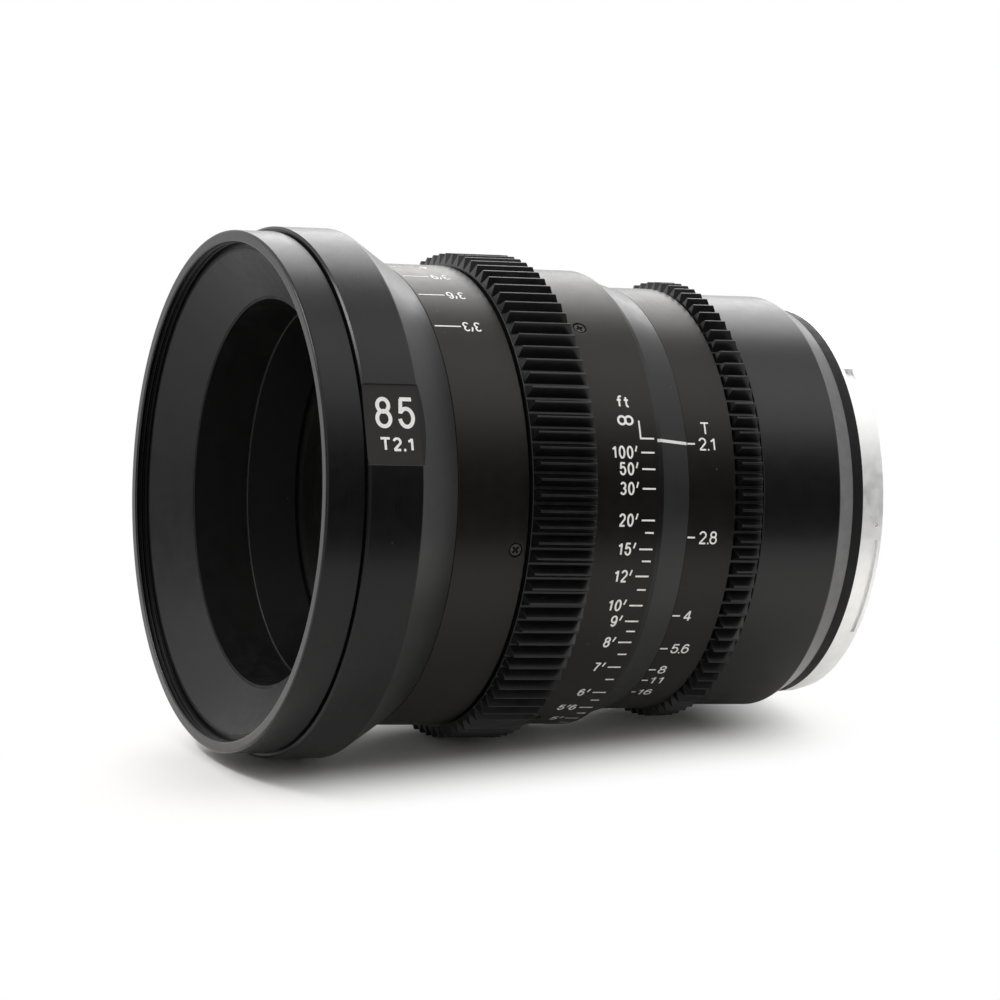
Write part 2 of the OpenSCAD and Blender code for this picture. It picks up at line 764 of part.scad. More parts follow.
module focus_front_sleeve() {
    top = z_front_sleeve + front_sleeve_len;
    color("#303238") lay() difference() {
        turned([[sleeve_in, z_front_sleeve], [front_sleeve_r - edge_chamfer, z_front_sleeve],
            [front_sleeve_r, z_front_sleeve + edge_chamfer], [front_sleeve_r, top - edge_chamfer],
            [front_sleeve_r - edge_chamfer, top], [sleeve_in, top]]);
        at_ring_screws(front_screw_angle, z_front_screw) ring_screw_hole(front_sleeve_r);
    }
}

module focus_gear() {
    color("#1e1f22") lay()
        gear_ring(sleeve_in, focus_gear_wall, z_focus_gear, focus_gear_len, gear_rear_rim, gear_front_rim);
}

module focus_scale_sleeve() {
    rear = z_scale + index_lip_len;
    top = z_focus_gear - seat_clear;
    color("#303238") lay() difference() {
        turned([[sleeve_in, rear], [scale_r - edge_chamfer, rear],
            [scale_r, rear + edge_chamfer], [scale_r, top - edge_chamfer],
            [scale_r - edge_chamfer, top], [sleeve_in, top]]);
        at_ring_screws(rear_screw_angle, z_rear_screw) ring_screw_hole(scale_r);
    }
}

module focus_cam_sleeve() {
    color("#c0a060") lay() difference() {
        ring(cam_in, cam_out, z_cam, z_cam_top);
        around(follower_count, follower_angle) cam_slot();
        at_ring_screws(front_screw_angle, z_front_screw) ring_screw_hole(front_sleeve_r);
        at_ring_screws(rear_screw_angle, z_rear_screw) ring_screw_hole(scale_r);
    }
}

module focus_front_screws() {
    color("#55565a") lay() at_ring_screws(front_screw_angle, z_front_screw) ring_screw(front_sleeve_r);
}

module focus_rear_screws() {
    color("#55565a") lay() at_ring_screws(rear_screw_angle, z_rear_screw) ring_screw(scale_r);
}

// Optical block

module lens_block() {
    lip_r = block_in - block_lip_w;
    color("#2a2a2c") lay() difference() {
        turned([[lip_r, z_block], [block_r, z_block], [block_r, z_block_front], [block_in, z_block_front],
            [block_in, z_rear_cell], [lip_r, z_rear_cell]]);
        around(follower_count, follower_angle)
            radial_pin(follower_r + seat_clear, 0, z_follower, block_in + follower_root, block_r + over);
        ring_sector(block_in - over, block_r + over, z_fork - focus_travel - fork_r - window_clear,
            z_fork + fork_r + window_clear, fork_angle - block_window_margin,
            fork_angle + iris_throw + block_window_margin);
    }
}

module nose_ring() {
    color("#232325") lay()
        turned([[front_clear_r, z_block_front], [block_r, z_block_front], [block_r, z_nose - nose_edge_w],
            [block_r - nose_edge_w, z_nose], [nose_lip_r, z_nose],
            [front_clear_r, z_block_front + nose_seat]]);
}

module front_element() {
    color([0.55, 0.62, 0.5, 0.5]) lay()
        element(front_glass_r, z_front_rim, z_front_rim + front_edge, -front_back_curve, front_curve);
}

module front_spacer() {
    color("#1c1c1c") lay()
        ring(doublet_r - front_spacer_lap, cell_r, z_front_cell_top, z_front_rim - seat_clear);
}

module front_cell() {
    bore = doublet_r + seat_clear;
    color("#28282a") lay()
        turned([[doublet_r - front_cell_lip_w, z_front_cell], [cell_r, z_front_cell],
            [cell_r, z_front_cell_top], [bore, z_front_cell_top], [bore, z_front_cell + front_cell_lip_t],
            [doublet_r - front_cell_lip_w, z_front_cell + front_cell_lip_t]]);
}

module front_retainer() {
    color("#202022") lay()
        ring(doublet_r - retainer_w, doublet_r, z_front_retainer, z_front_retainer + retainer_len);
}

module front_doublet_crown() {
    color([0.6, 0.65, 0.6, 0.5]) lay()
        element(doublet_r, z_front_cement + seat_clear, z_front_crown_rim, 0, front_crown_curve);
}

module front_doublet_flint() {
    color([0.6, 0.62, 0.55, 0.5]) lay()
        element(doublet_r, z_front_flint, z_front_cement, -front_flint_curve, 0, front_flint_open);
}

module iris_base_plate() {
    color("#3c3c3e") lay() difference() {
        ring(base_opening_r, base_r, z_base, z_base + base_t);
        for (i = [0 : blade_count - 1])
            blade_plane(i * 360 / blade_count)
                translate([pivot_at[0], pivot_at[1], -2 * base_t - pivot_pin_len])
                    cylinder(r = blade_pin_r + pivot_clear, h = 2 * base_t + pivot_pin_len + over);
    }
}

module rear_cell() {
    bore = rear_r_glass + seat_clear;
    tube_r = bore + rear_tube_wall;
    top_r = base_r - cell_top_margin;
    lip_r = rear_r_glass - cell_lip_w;
    top = z_base - seat_clear;
    color("#28282a") lay()
        turned([[bore, z_rear_cell + seat_clear], [cell_r, z_rear_cell + seat_clear],
            [cell_r, z_cell_flange], [tube_r, z_cell_flange], [tube_r, top - rear_top_flange],
            [top_r, top - rear_top_flange],
            [top_r, top], [lip_r, top], [lip_r, top - cell_lip_t], [bore, top - cell_lip_t]]);
}

module rear_doublet_flint() {
    color([0.6, 0.62, 0.55, 0.5]) lay()
        element(rear_r_glass, z_rear_cement, z_rear_flint_top - seat_clear, 0, -rear_flint_curve,
            rear_flint_open);
}

module rear_doublet_crown() {
    color([0.6, 0.65, 0.6, 0.5]) lay()
        element(rear_r_glass, z_rear_crown_rim, z_rear_cement - seat_clear, rear_crown_curve, 0);
}

module rear_spacer() {
    inner_r = rear_r_glass - spacer_ring_w;
    z1 = z_rear_crown_back + sag(rear_crown_curve, inner_r) - seat_clear;
    z0 = z_rear_front - sag(rear_front_curve, inner_r) + seat_clear;
    color("#1c1c1c") lay() ring(inner_r, rear_r_glass, z0, z1);
}

module rear_element() {
    color([0.6, 0.65, 0.6, 0.5]) lay()
        element(rear_r_glass, z_rear_rim, z_rear_rim_top, rear_back_curve, rear_front_curve);
}

module rear_retainer() {
    inner_r = rear_r_glass - retainer_w;
    z1 = z_rear_back + sag(rear_back_curve, inner_r) - seat_clear;
    color("#202022") lay() ring(inner_r, rear_r_glass, z1 - retainer_len, z1);
}

module cam_follower_pins() {
    color("#c8c8c8") lay() around(follower_count, follower_angle)
        radial_pin(follower_r, 0, z_follower, block_in + follower_root + seat_clear,
            cam_out - follower_tip);
}

// Iris

module iris_drive_ring() {
    fork_half = fork_r + fork_clear;
    fork_top = z_fork + fork_r + skirt_run;
    color("#4a4a4c") lay() difference() {
        turned([[disc_in, z_disc], [skirt_in, z_disc], [skirt_in, z_skirt], [drive_r, z_skirt],
            [drive_r, z_disc + disc_t], [disc_in, z_disc + disc_t]]);
        for (i = [0 : blade_count - 1]) rotate([0, 0, i * 360 / blade_count]) drive_slot();
        rotate([0, 0, fork_angle]) translate([skirt_in - over, -fork_half, z_skirt - over])
            cube([skirt_wall + 2 * over, 2 * fork_half, fork_top - z_skirt + over]);
    }
}

module iris_ring() {
    z1 = z_iris + iris_len;
    color("#303238") lay() difference() {
        turned([[cam_in, z_iris_gear], [iris_seat_r, z_iris_gear], [iris_seat_r, z_iris + seat_clear],
            [iris_r, z_iris + seat_clear], [iris_r, z1 - edge_chamfer], [iris_r - edge_chamfer, z1],
            [cam_in, z1]]);
        radial_pin(fork_r + seat_clear, fork_angle, z_fork, cam_in - over, iris_r - fork_cap);
    }
}

module iris_gear() {
    color("#1e1f22") lay()
        gear_ring(iris_gear_in, iris_gear_wall, z_iris_gear, iris_gear_len,
            gear_rear_rim, gear_front_rim);
}

module iris_fork_pin() {
    color("#c8c8c8") lay()
        radial_pin(fork_r, fork_angle, z_fork, drive_r - fork_depth, iris_r - fork_cap - seat_clear);
}

module iris_blade(i) {
    color("#1a1a1c") lay() blade((i - 1) * 360 / blade_count);
}

main_barrel();
front_barrel();
filter_ring();
front_funnel();
index_ring();
rear_barrel();
mount_spacer();
bayonet_mount();
mount_screws();
rear_baffle();
front_thrust_washer();
rear_thrust_washer();
focus_front_sleeve();
focus_gear();
focus_scale_sleeve();
focus_cam_sleeve();
focus_front_screws();
focus_rear_screws();
lens_block();
nose_ring();
front_element();
front_spacer();
front_cell();
front_retainer();
front_doublet_crown();
front_doublet_flint();
iris_base_plate();
rear_cell();
rear_doublet_flint();
rear_doublet_crown();
rear_spacer();
rear_element();
rear_retainer();
cam_follower_pins();
iris_drive_ring();
iris_ring();
iris_gear();
iris_fork_pin();
for (i = [1 : blade_count])
    iris_blade(i);
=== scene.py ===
import math
from collections import namedtuple

import bpy
import numpy as np
from mathutils import Matrix, Vector


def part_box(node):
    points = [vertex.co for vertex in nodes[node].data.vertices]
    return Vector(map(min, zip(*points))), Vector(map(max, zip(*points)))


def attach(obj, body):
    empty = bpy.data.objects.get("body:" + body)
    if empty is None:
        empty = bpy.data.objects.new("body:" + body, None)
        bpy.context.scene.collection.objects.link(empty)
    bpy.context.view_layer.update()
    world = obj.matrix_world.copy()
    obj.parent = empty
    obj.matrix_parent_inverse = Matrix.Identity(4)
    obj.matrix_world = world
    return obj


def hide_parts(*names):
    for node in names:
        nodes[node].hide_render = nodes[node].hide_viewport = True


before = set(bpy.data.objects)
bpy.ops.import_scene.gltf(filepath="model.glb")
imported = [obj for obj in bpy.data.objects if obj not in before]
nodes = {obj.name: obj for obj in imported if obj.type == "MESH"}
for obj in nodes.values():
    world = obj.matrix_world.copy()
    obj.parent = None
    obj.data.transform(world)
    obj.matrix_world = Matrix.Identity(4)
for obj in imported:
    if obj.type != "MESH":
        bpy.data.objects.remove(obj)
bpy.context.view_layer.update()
mm = 0.001
print("frame loaded:", len(nodes), "nodes")


# Sizes read from the frame: stations are mm forward of the flange, along -Y

ringSpan = namedtuple("ringSpan", "rear front radius")


def span(node):
    low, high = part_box(node)
    reach = max(abs(low.x), abs(high.x), abs(low.z), abs(high.z))
    return ringSpan(-high.y / mm, -low.y / mm, reach / mm)


# Surface tools: every ring is a profile turned round the lens axis

def roundedOutline(corners, radius, steps=3, hold=0.03):
    # closed outline; each corner turns into B(u) = (1-u)^2 a + 2u(1-u) c + u^2 b, and the straight
    # runs keep a holding point beside each arc so that flats stay flat in the shading
    c = np.asarray(corners, float)
    toLast = np.roll(c, 1, 0) - c
    toNext = np.roll(c, -1, 0) - c
    lastLength = np.linalg.norm(toLast, axis=1)
    nextLength = np.linalg.norm(toNext, axis=1)
    toLast = toLast / lastLength[:, None]
    toNext = toNext / nextLength[:, None]
    reach = np.minimum(np.broadcast_to(radius, len(c)), 0.42 * np.minimum(lastLength, nextLength))
    a = (c + toLast * reach[:, None])[:, None]
    b = (c + toNext * reach[:, None])[:, None]
    u = np.linspace(0, 1, steps + 1)[None, :, None]
    arcs = (1 - u) ** 2 * a + 2 * u * (1 - u) * c[:, None] + u ** 2 * b
    before = a + toLast[:, None] * np.minimum(hold, 0.1 * lastLength)[:, None, None]
    after = b + toNext[:, None] * np.minimum(hold, 0.1 * nextLength)[:, None, None]
    cross = toNext[:, 0] * toLast[:, 1] - toNext[:, 1] * toLast[:, 0]
    wear = np.clip(cross, 0, 1)[:, None] * (4 * u * (1 - u))[:, :, 0]
    wear = np.concatenate([np.zeros((len(c), 1)), wear, np.zeros((len(c), 1))], 1)
    return np.concatenate([before, arcs, after], 1).reshape(-1, 2), wear.reshape(-1)


def gridFaces(rows, cols):
    # quads of a grid that closes both ways; the order makes a downward outer wall face outwards
    i, j = np.meshgrid(np.arange(rows), np.arange(cols), indexing="ij")
    iNext, jNext = (i + 1) % rows, (j + 1) % cols
    quads = [i * cols + j, iNext * cols + j, iNext * cols + jNext, i * cols + jNext]
    return np.stack(quads, -1).reshape(-1, 4)


def turnedPoints(radius, station, angle):
    # P(r, z, t) = (r cos t, -z, r sin t)
    radius, station, angle = np.broadcast_arrays(radius, station, angle)
    return np.stack([radius * np.cos(angle), -station, radius * np.sin(angle)], -1) * mm


def meshPiece(name, points, faces, materials, wear=None, faceMaterial=None):
    mesh = bpy.data.meshes.new(name)
    mesh.from_pydata(np.reshape(points, (-1, 3)), [], faces, shade_flat=False)
    for material in materials:
        mesh.materials.append(material)
    if faceMaterial is not None:
        mesh.polygons.foreach_set("material_index", np.asarray(faceMaterial, np.int32).ravel())
    layer = mesh.attributes.new("wear", "FLOAT", "POINT")
    layer.data.foreach_set("value", np.zeros(len(mesh.vertices)) if wear is None else np.ravel(wear))
    mesh.update()
    piece = bpy.data.objects.new(name, mesh)
    bpy.context.scene.collection.objects.link(piece)
    return piece


def ringOutline(corners, rounds):
    # rounded section of a ring, in the order that makes its faces look outwards
    c = np.asarray(corners, float)
    rounds = np.broadcast_to(rounds, len(c))
    area = np.sum(c[:, 0] * np.roll(c[:, 1], -1) - np.roll(c[:, 0], -1) * c[:, 1])
    return roundedOutline(c[::-1], rounds[::-1]) if area > 0 else roundedOutline(c, rounds)


def around(count=320, extra=()):
    # angles round the ring, with further columns where a detail needs them
    base = np.linspace(0, 2 * math.pi, count, endpoint=False)
    return np.unique(np.round(np.concatenate([base, *[np.mod(e, 2 * math.pi) for e in extra]]), 6))


def runs(outline):
    return np.roll(outline, -1, 0) - outline


def splitRun(outline, wear, k, share):
    # adds points at these shares of the run that starts at point k
    added = outline[k] + share[:, None] * runs(outline)[k]
    return np.insert(outline, k + 1, added, 0), np.insert(wear, k + 1, np.zeros(len(added)))


def moreRows(outline, wear, stations):
    # adds points at these stations to the longest outer run of an outline
    step = runs(outline)
    k = np.argmax(np.linalg.norm(step, axis=1) * (outline[:, 0] > outline[:, 0].max() - 0.2))
    share = (np.sort(stations)[::-1] - outline[k, 1]) / step[k, 1]
    return splitRun(outline, wear, k, share[(share > 0.01) & (share < 0.99)])


def turnedPiece(name, outline, wear, materials, columns=320, second=None):
    # an outline turned round the axis; runs of it that are marked in second take the second material
    angle = around(columns)
    points = turnedPoints(outline[:, :1], outline[:, 1:], angle[None, :])
    faceMaterial = None if second is None else np.repeat(second, len(angle))
    return meshPiece(name, points, gridFaces(len(outline), len(angle)), materials,
                     wear[:, None] + 0 * angle, faceMaterial)


def plainRing(name, corners, rounds, material, columns=320):
    outline, wear = ringOutline(corners, rounds)
    return turnedPiece(name, outline, wear, [material], columns)


def standIn(piece, body, slot, *replaced):
    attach(piece, body)
    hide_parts(*replaced)
    return piece


# Shared shader effects, each one node group

def feed(tree, socket, value):
    # an output is linked, a plain value is set
    if isinstance(value, bpy.types.NodeSocket):
        tree.links.new(value, socket)
    else:
        socket.default_value = value


def feedAll(tree, node, values):
    for label, value in values.items():
        feed(tree, node.inputs[label], value)


def newGroup(name, inputs, output):
    # a group of plain values: its inputs with their defaults, and one output
    group = bpy.data.node_groups.new(name, "ShaderNodeTree")
    for label, value in inputs.items():
        socket = group.interface.new_socket(label, in_out="INPUT", socket_type="NodeSocketFloat")
        socket.default_value = value
    group.interface.new_socket(output, in_out="OUTPUT", socket_type="NodeSocketFloat")
    given = group.nodes.new("NodeGroupInput").outputs
    return group, given, group.nodes.new("NodeGroupOutput").inputs[output]


def objectPlace(tree):
    return tree.nodes.new("ShaderNodeTexCoord").outputs["Object"]


def mathNode(tree, operation, first, second=0.5, clamp=False):
    node = tree.nodes.new("ShaderNodeMath")
    node.operation = operation
    node.use_clamp = clamp
    feed(tree, node.inputs[0], first)
    feed(tree, node.inputs[1], second)
    return node.outputs[0]


def rangeNode(tree, value, low, high, toLow=0.0, toHigh=1.0):
    node = tree.nodes.new("ShaderNodeMapRange")
    node.interpolation_type = "SMOOTHSTEP"
    feedAll(tree, node, {"Value": value, "From Min": low, "From Max": high, "To Min": toLow,
                         "To Max": toHigh})
    return node.outputs["Result"]


def noiseNode(tree, vector, scale, detail=2.0, roughness=0.5):
    node = tree.nodes.new("ShaderNodeTexNoise")
    feedAll(tree, node, {"Vector": vector, "Scale": scale, "Detail": detail, "Roughness": roughness})
    return node.outputs["Fac"]


def makeTurnedGrain():
    # tool marks of a lathe: noise that runs fast along and across the axis and slowly round it
    group, given, height = newGroup("turnedGrain", {"Lines": 4000.0, "Sweep": 1.5}, "Height")
    parts = group.nodes.new("ShaderNodeSeparateXYZ")
    feed(group, parts.inputs[0], objectPlace(group))
    x, y, z = parts.outputs
    radius = mathNode(group, "SQRT", mathNode(group, "ADD", mathNode(group, "MULTIPLY", x, x),
                                              mathNode(group, "MULTIPLY", z, z)))
    turn = mathNode(group, "SINE", mathNode(group, "ARCTAN2", z, x))
    place = group.nodes.new("ShaderNodeCombineXYZ")
    for socket, value, rate in zip(place.inputs, (y, radius, turn), ("Lines", "Lines", "Sweep")):
        feed(group, socket, mathNode(group, "MULTIPLY", value, given[rate]))
    feed(group, height, noiseNode(group, place.outputs[0], 1.0, 3.0))
    return group


def makeMottle():
    # soft clouding of a dyed or handled surface, 0 to 1
    group, given, amount = newGroup("mottle", {"Size": 300.0}, "Amount")
    cloud = noiseNode(group, objectPlace(group), given["Size"], 4.0, 0.6)
    feed(group, amount, rangeNode(group, cloud, 0.3, 0.7))
    return group


def makeEdgeWear():
    # thin bright line on convex edges, broken up by noise: partly wear, partly a painted highlight; reads the
    # wear layer of the mesh
    group, given, mask = newGroup("edgeWearAndGlint", {"Reach": 0.6, "Break": 0.5}, "Mask")
    layer = group.nodes.new("ShaderNodeAttribute")
    layer.attribute_name = "wear"
    chips = noiseNode(group, objectPlace(group), 900.0, 3.0)
    kept = rangeNode(group, chips, 0.35, 0.65, mathNode(group, "SUBTRACT", 1.0, given["Break"]), 1.0)
    line = rangeNode(group, layer.outputs["Fac"], mathNode(group, "SUBTRACT", 1.0, given["Reach"]), 1.0)
    feed(group, mask, mathNode(group, "MULTIPLY", line, kept))
    return group


def makeDust():
    # sparse pale specks
    group, given, mask = newGroup("dust", {"Share": 0.02}, "Mask")
    cells = group.nodes.new("ShaderNodeTexVoronoi")
    feedAll(group, cells, {"Vector": objectPlace(group), "Scale": 900.0})
    speck = rangeNode(group, cells.outputs["Distance"], 0.05, 0.09, 1.0, 0.0)
    pick = group.nodes.new("ShaderNodeSeparateColor")
    feed(group, pick.inputs[0], cells.outputs["Color"])
    chosen = mathNode(group, "LESS_THAN", pick.outputs[0], given["Share"])
    feed(group, mask, mathNode(group, "MULTIPLY", speck, chosen))
    return group


turnedGrain, mottle, edgeWearAndGlint, dust = makeTurnedGrain(), makeMottle(), makeEdgeWear(), makeDust()
print("shader groups made")


# Finishes. base and far are the two tones of the clouding, and the edge tone colours the bright lines on
# convex edges, partly wear and partly a painted highlight; what a finish doesn't name is as in commonFinish

commonFinish = dict(
    lines=2600.0, bump=0.03, bumpDepth=0.00004, wear=0.4, cloud=420.0, grain=0.06, metal=0.0, shine=0.36,
    tint=(1.0, 1.0, 1.0), dust=0.012, dustTone=(0.30, 0.29, 0.28), dustCover=0.5)
finishes = {
    "blackAnodised": dict(
        base=(0.0028, 0.0028, 0.0031), far=(0.0033, 0.0033, 0.0037), wearAndGlintTone=(0.035, 0.035, 0.037),
        rough=(0.28, 0.31), lines=5200.0, bump=0.04, wear=0.5, shine=0.27),
    "rearBlack": dict(
        base=(0.0032, 0.0031, 0.0031), far=(0.0037, 0.0036, 0.0036), wearAndGlintTone=(0.035, 0.035, 0.036),
        rough=(0.29, 0.32), lines=5200.0, bump=0.04, wear=0.5, shine=0.38),
    # the warm tint of its reflections is painted warm light from the surroundings
    "sleeveBlack": dict(
        base=(0.0034, 0.0030, 0.0027), far=(0.0040, 0.0035, 0.0032), wearAndGlintTone=(0.030, 0.030, 0.030),
        rough=(0.32, 0.35), lines=4200.0, bump=0.05, shine=0.29, tint=(1.0, 0.94, 0.86)),
    "gearBlack": dict(
        base=(0.0024, 0.0024, 0.0026), far=(0.0036, 0.0036, 0.0039), wearAndGlintTone=(0.022, 0.022, 0.023),
        rough=(0.30, 0.37), wear=0.7, shine=0.42),
    # darker front tooth ends: painted shade
    "gearEndShade": dict(
        base=(0.0010, 0.0010, 0.0011), far=(0.0014, 0.0014, 0.0015), wearAndGlintTone=(0.012, 0.012, 0.012),
        rough=(0.28, 0.34), wear=0.5, shine=0.52),
    "graphite": dict(
        base=(0.0040, 0.0039, 0.0040), far=(0.0046, 0.0045, 0.0046), wearAndGlintTone=(0.04, 0.04, 0.04),
        rough=(0.30, 0.34), lines=4600.0, bump=0.04, shine=0.34),
    "bevelSatin": dict(
        base=(0.11, 0.11, 0.11), far=(0.14, 0.14, 0.14), wearAndGlintTone=(0.25, 0.25, 0.25),
        rough=(0.30, 0.36), metal=0.8, lines=6000.0, bump=0.05),
    "funnelSatin": dict(
        base=(0.0115, 0.0112, 0.0115), far=(0.0135, 0.0132, 0.0135), wearAndGlintTone=(0.0115, 0.0112, 0.0115),
        rough=(0.40, 0.46), bump=0.02, wear=0.3, grain=0.03, shine=0.22),
    # darker black of the thread bore, the sunk screw seats and the screw slots: painted shade in recesses
    "shadedRecessBlack": dict(
        base=(0.0009, 0.0008, 0.0009), far=(0.0012, 0.0011, 0.0012), wearAndGlintTone=(0.012, 0.012, 0.012),
        rough=(0.34, 0.40), wear=0.5, shine=0.14),
    # front ring rim: the brighter tone on its edges is partly wear, partly a painted highlight
    "rimBlack": dict(
        base=(0.0030, 0.0030, 0.0033), far=(0.0036, 0.0036, 0.0040), wearAndGlintTone=(0.05, 0.05, 0.052),
        rough=(0.20, 0.24), lines=5200.0, wear=0.6, shine=0.40),
    # lighter tone of the nose ring's narrow front face: a painted highlight
    "noseEdgeHighlight": dict(
        base=(0.020, 0.0195, 0.0190), far=(0.025, 0.0245, 0.0240), wearAndGlintTone=(0.04, 0.04, 0.04),
        rough=(0.34, 0.40), lines=3600.0, wear=0.5, shine=0.20),
    # the bright tone on the nose ring's edges is partly wear, partly a painted highlight
    "noseBlack": dict(
        base=(0.0006, 0.0006, 0.0007), far=(0.0009, 0.0009, 0.0010), wearAndGlintTone=(0.11, 0.11, 0.11),
        rough=(0.45, 0.55), wear=0.85, shine=0.10),
    "tubeMatte": dict(
        base=(0.0012, 0.0011, 0.0012), far=(0.0020, 0.0019, 0.0020), wearAndGlintTone=(0.012, 0.012, 0.012),
        rough=(0.50, 0.60), lines=2200.0, bump=0.06, shine=0.25),
    "labelPlate": dict(
        base=(0.0090, 0.0075, 0.0062), far=(0.0112, 0.0094, 0.0079), wearAndGlintTone=(0.03, 0.03, 0.03),
        rough=(0.42, 0.50), lines=2500.0, bump=0.02, wear=0.3),
    "mountSteel": dict(
        base=(0.86, 0.86, 0.85), far=(0.92, 0.92, 0.91), wearAndGlintTone=(0.9, 0.9, 0.9),
        rough=(0.48, 0.56), metal=1.0, lines=5200.0, bump=0.05, wear=0.5),
    "screwSteel": dict(
        base=(0.026, 0.026, 0.025), far=(0.034, 0.034, 0.033), wearAndGlintTone=(0.06, 0.06, 0.06),
        rough=(0.30, 0.38), lines=2000.0, shine=0.30),
    "brightScrew": dict(
        base=(0.42, 0.42, 0.42), far=(0.55, 0.55, 0.55), wearAndGlintTone=(0.8, 0.8, 0.8),
        rough=(0.22, 0.34), metal=1.0, lines=2000.0, bump=0.05),
    "bronzeBearing": dict(
        base=(0.40, 0.25, 0.10), far=(0.50, 0.33, 0.15), wearAndGlintTone=(0.7, 0.55, 0.3),
        rough=(0.30, 0.42), metal=1.0, lines=3500.0, bump=0.06),
    "bladeSteel": dict(
        base=(0.010, 0.010, 0.011), far=(0.020, 0.020, 0.021), wearAndGlintTone=(0.1, 0.1, 0.1),
        rough=(0.40, 0.55), metal=0.3, lines=1200.0, bump=0.05, wear=0.3),
}


def groupNode(tree, group, output, **values):
    node = tree.nodes.new("ShaderNodeGroup")
    node.node_tree = group
    feedAll(tree, node, values)
    return node.outputs[output]


def mixColour(tree, factor, first, second):
    node = tree.nodes.new("ShaderNodeMix")
    node.data_type = "RGBA"
    feed(tree, node.inputs["Factor"], factor)
    for socket, value in ((node.inputs["A"], first), (node.inputs["B"], second)):
        feed(tree, socket, (*value, 1.0) if isinstance(value, tuple) else value)
    return node.outputs["Result"]


def newMaterial(name):
    material = bpy.data.materials.new(name)
    material.use_nodes = True
    tree = material.node_tree
    return material, tree, tree.nodes["Principled BSDF"]


def finishMaterial(name, own):
    values = {**commonFinish, **own}
    material, tree, shader = newMaterial(name)
    cloud = groupNode(tree, mottle, "Amount", Size=values["cloud"])
    wearAndGlint = groupNode(tree, edgeWearAndGlint, "Mask", Reach=values["wear"])
    specks = groupNode(tree, dust, "Mask", Share=values["dust"])
    grain = groupNode(tree, turnedGrain, "Height", Lines=values["lines"])
    tone = mixColour(tree, cloud, values["base"], values["far"])
    # bright edge lines: partly wear, partly a painted highlight
    tone = mixColour(tree, wearAndGlint, tone, values["wearAndGlintTone"])
    tone = mixColour(tree, mathNode(tree, "MULTIPLY", specks, values["dustCover"]), tone, values["dustTone"])
    grainShare = mathNode(tree, "MULTIPLY", mathNode(tree, "SUBTRACT", grain, 0.5), values["grain"])
    rough = rangeNode(tree, cloud, 0.0, 1.0, *values["rough"])
    bump = tree.nodes.new("ShaderNodeBump")
    feedAll(tree, bump, {"Strength": values["bump"], "Distance": values["bumpDepth"], "Height": grain})
    feedAll(tree, shader, {
        "Base Color": tone, "Roughness": mathNode(tree, "ADD", rough, grainShare, clamp=True),
        "Metallic": values["metal"], "Specular IOR Level": values["shine"],
        "Specular Tint": (*values["tint"], 1.0), "Normal": bump.outputs["Normal"]})
    return material


look = {name: finishMaterial(name, values) for name, values in finishes.items()}


def looks(*names):
    return [look[name] for name in names]


paintLook = {"tones": ((0.72, 0.70, 0.67), (0.80, 0.78, 0.75)), "rough": (0.55, 0.75), "cloud": 2600.0}
glassLook = {"ior": 1.6, "clear": (0.96, 0.97, 0.94), "speck": (0.6, 0.6, 0.58), "specks": 0.01,
             "hazeSize": 160.0, "haze": 0.03}


def makePaint(p):
    # filled engraving: off-white paint, a little uneven
    material, tree, shader = newMaterial("markingPaint")
    cloud = groupNode(tree, mottle, "Amount", Size=p["cloud"])
    feedAll(tree, shader, {"Base Color": mixColour(tree, cloud, *p["tones"]),
                           "Roughness": rangeNode(tree, cloud, 0.0, 1.0, *p["rough"])})
    return material


def makeGlass(name, tint, p):
    # coated glass: clear body, coloured surface reflection, faint haze
    material, tree, shader = newMaterial(name)
    specks = groupNode(tree, dust, "Mask", Share=p["specks"])
    haze = groupNode(tree, mottle, "Amount", Size=p["hazeSize"])
    feedAll(tree, shader, {
        "Transmission Weight": 1.0, "IOR": p["ior"], "Specular Tint": (*tint, 1.0),
        "Base Color": mixColour(tree, specks, p["clear"], p["speck"]),
        "Roughness": rangeNode(tree, haze, 0.0, 1.0, 0.0, p["haze"])})
    return material


paint = makePaint(paintLook)
frontGlassLook = makeGlass("coatedFrontGlass", (0.62, 0.66, 0.40), glassLook)
innerGlassLook = makeGlass("coatedInnerGlass", (0.50, 0.42, 0.62), glassLook)
print("finishes made:", len(look) + 3)


# Stations shared by the rings

filterSpan = span("filter_ring")
barrelSpan = span("front_barrel")
funnelSpan = span("front_funnel")
tubeSpan = span("main_barrel")
frontSleeveSpan = span("focus_front_sleeve")
gearSpan = span("focus_gear")
scaleSpan = span("focus_scale_sleeve")
camSpan = span("focus_cam_sleeve")
indexSpan = span("index_ring")
irisSpan = span("iris_ring")
irisGearSpan = span("iris_gear")
rearSpan = span("rear_barrel")
spacerSpan = span("mount_spacer")
noseSpan = span("nose_ring")
glassSpan = span("front_element")
indexAngle = math.radians(25.5)
seatGap = 0.02
sleeveBore = camSpan.radius + seatGap
tubeSeat = tubeSpan.radius + seatGap
hiddenRound, fineRound = 0.1, 0.05


# Front ring with its filter thread

frontRing = {"length": 6.55, "radius": 42.5, "wall": 1.9, "grooveDepth": 0.6, "jointWall": 0.9,
             "rimRound": 0.4, "edgeRound": 0.1, "boreRound": 0.3, "threadLength": 2.0, "threadPitch": 0.75,
             "threadDepth": 0.34, "threadRows": 44, "boreGap": 0.1, "columns": 384}


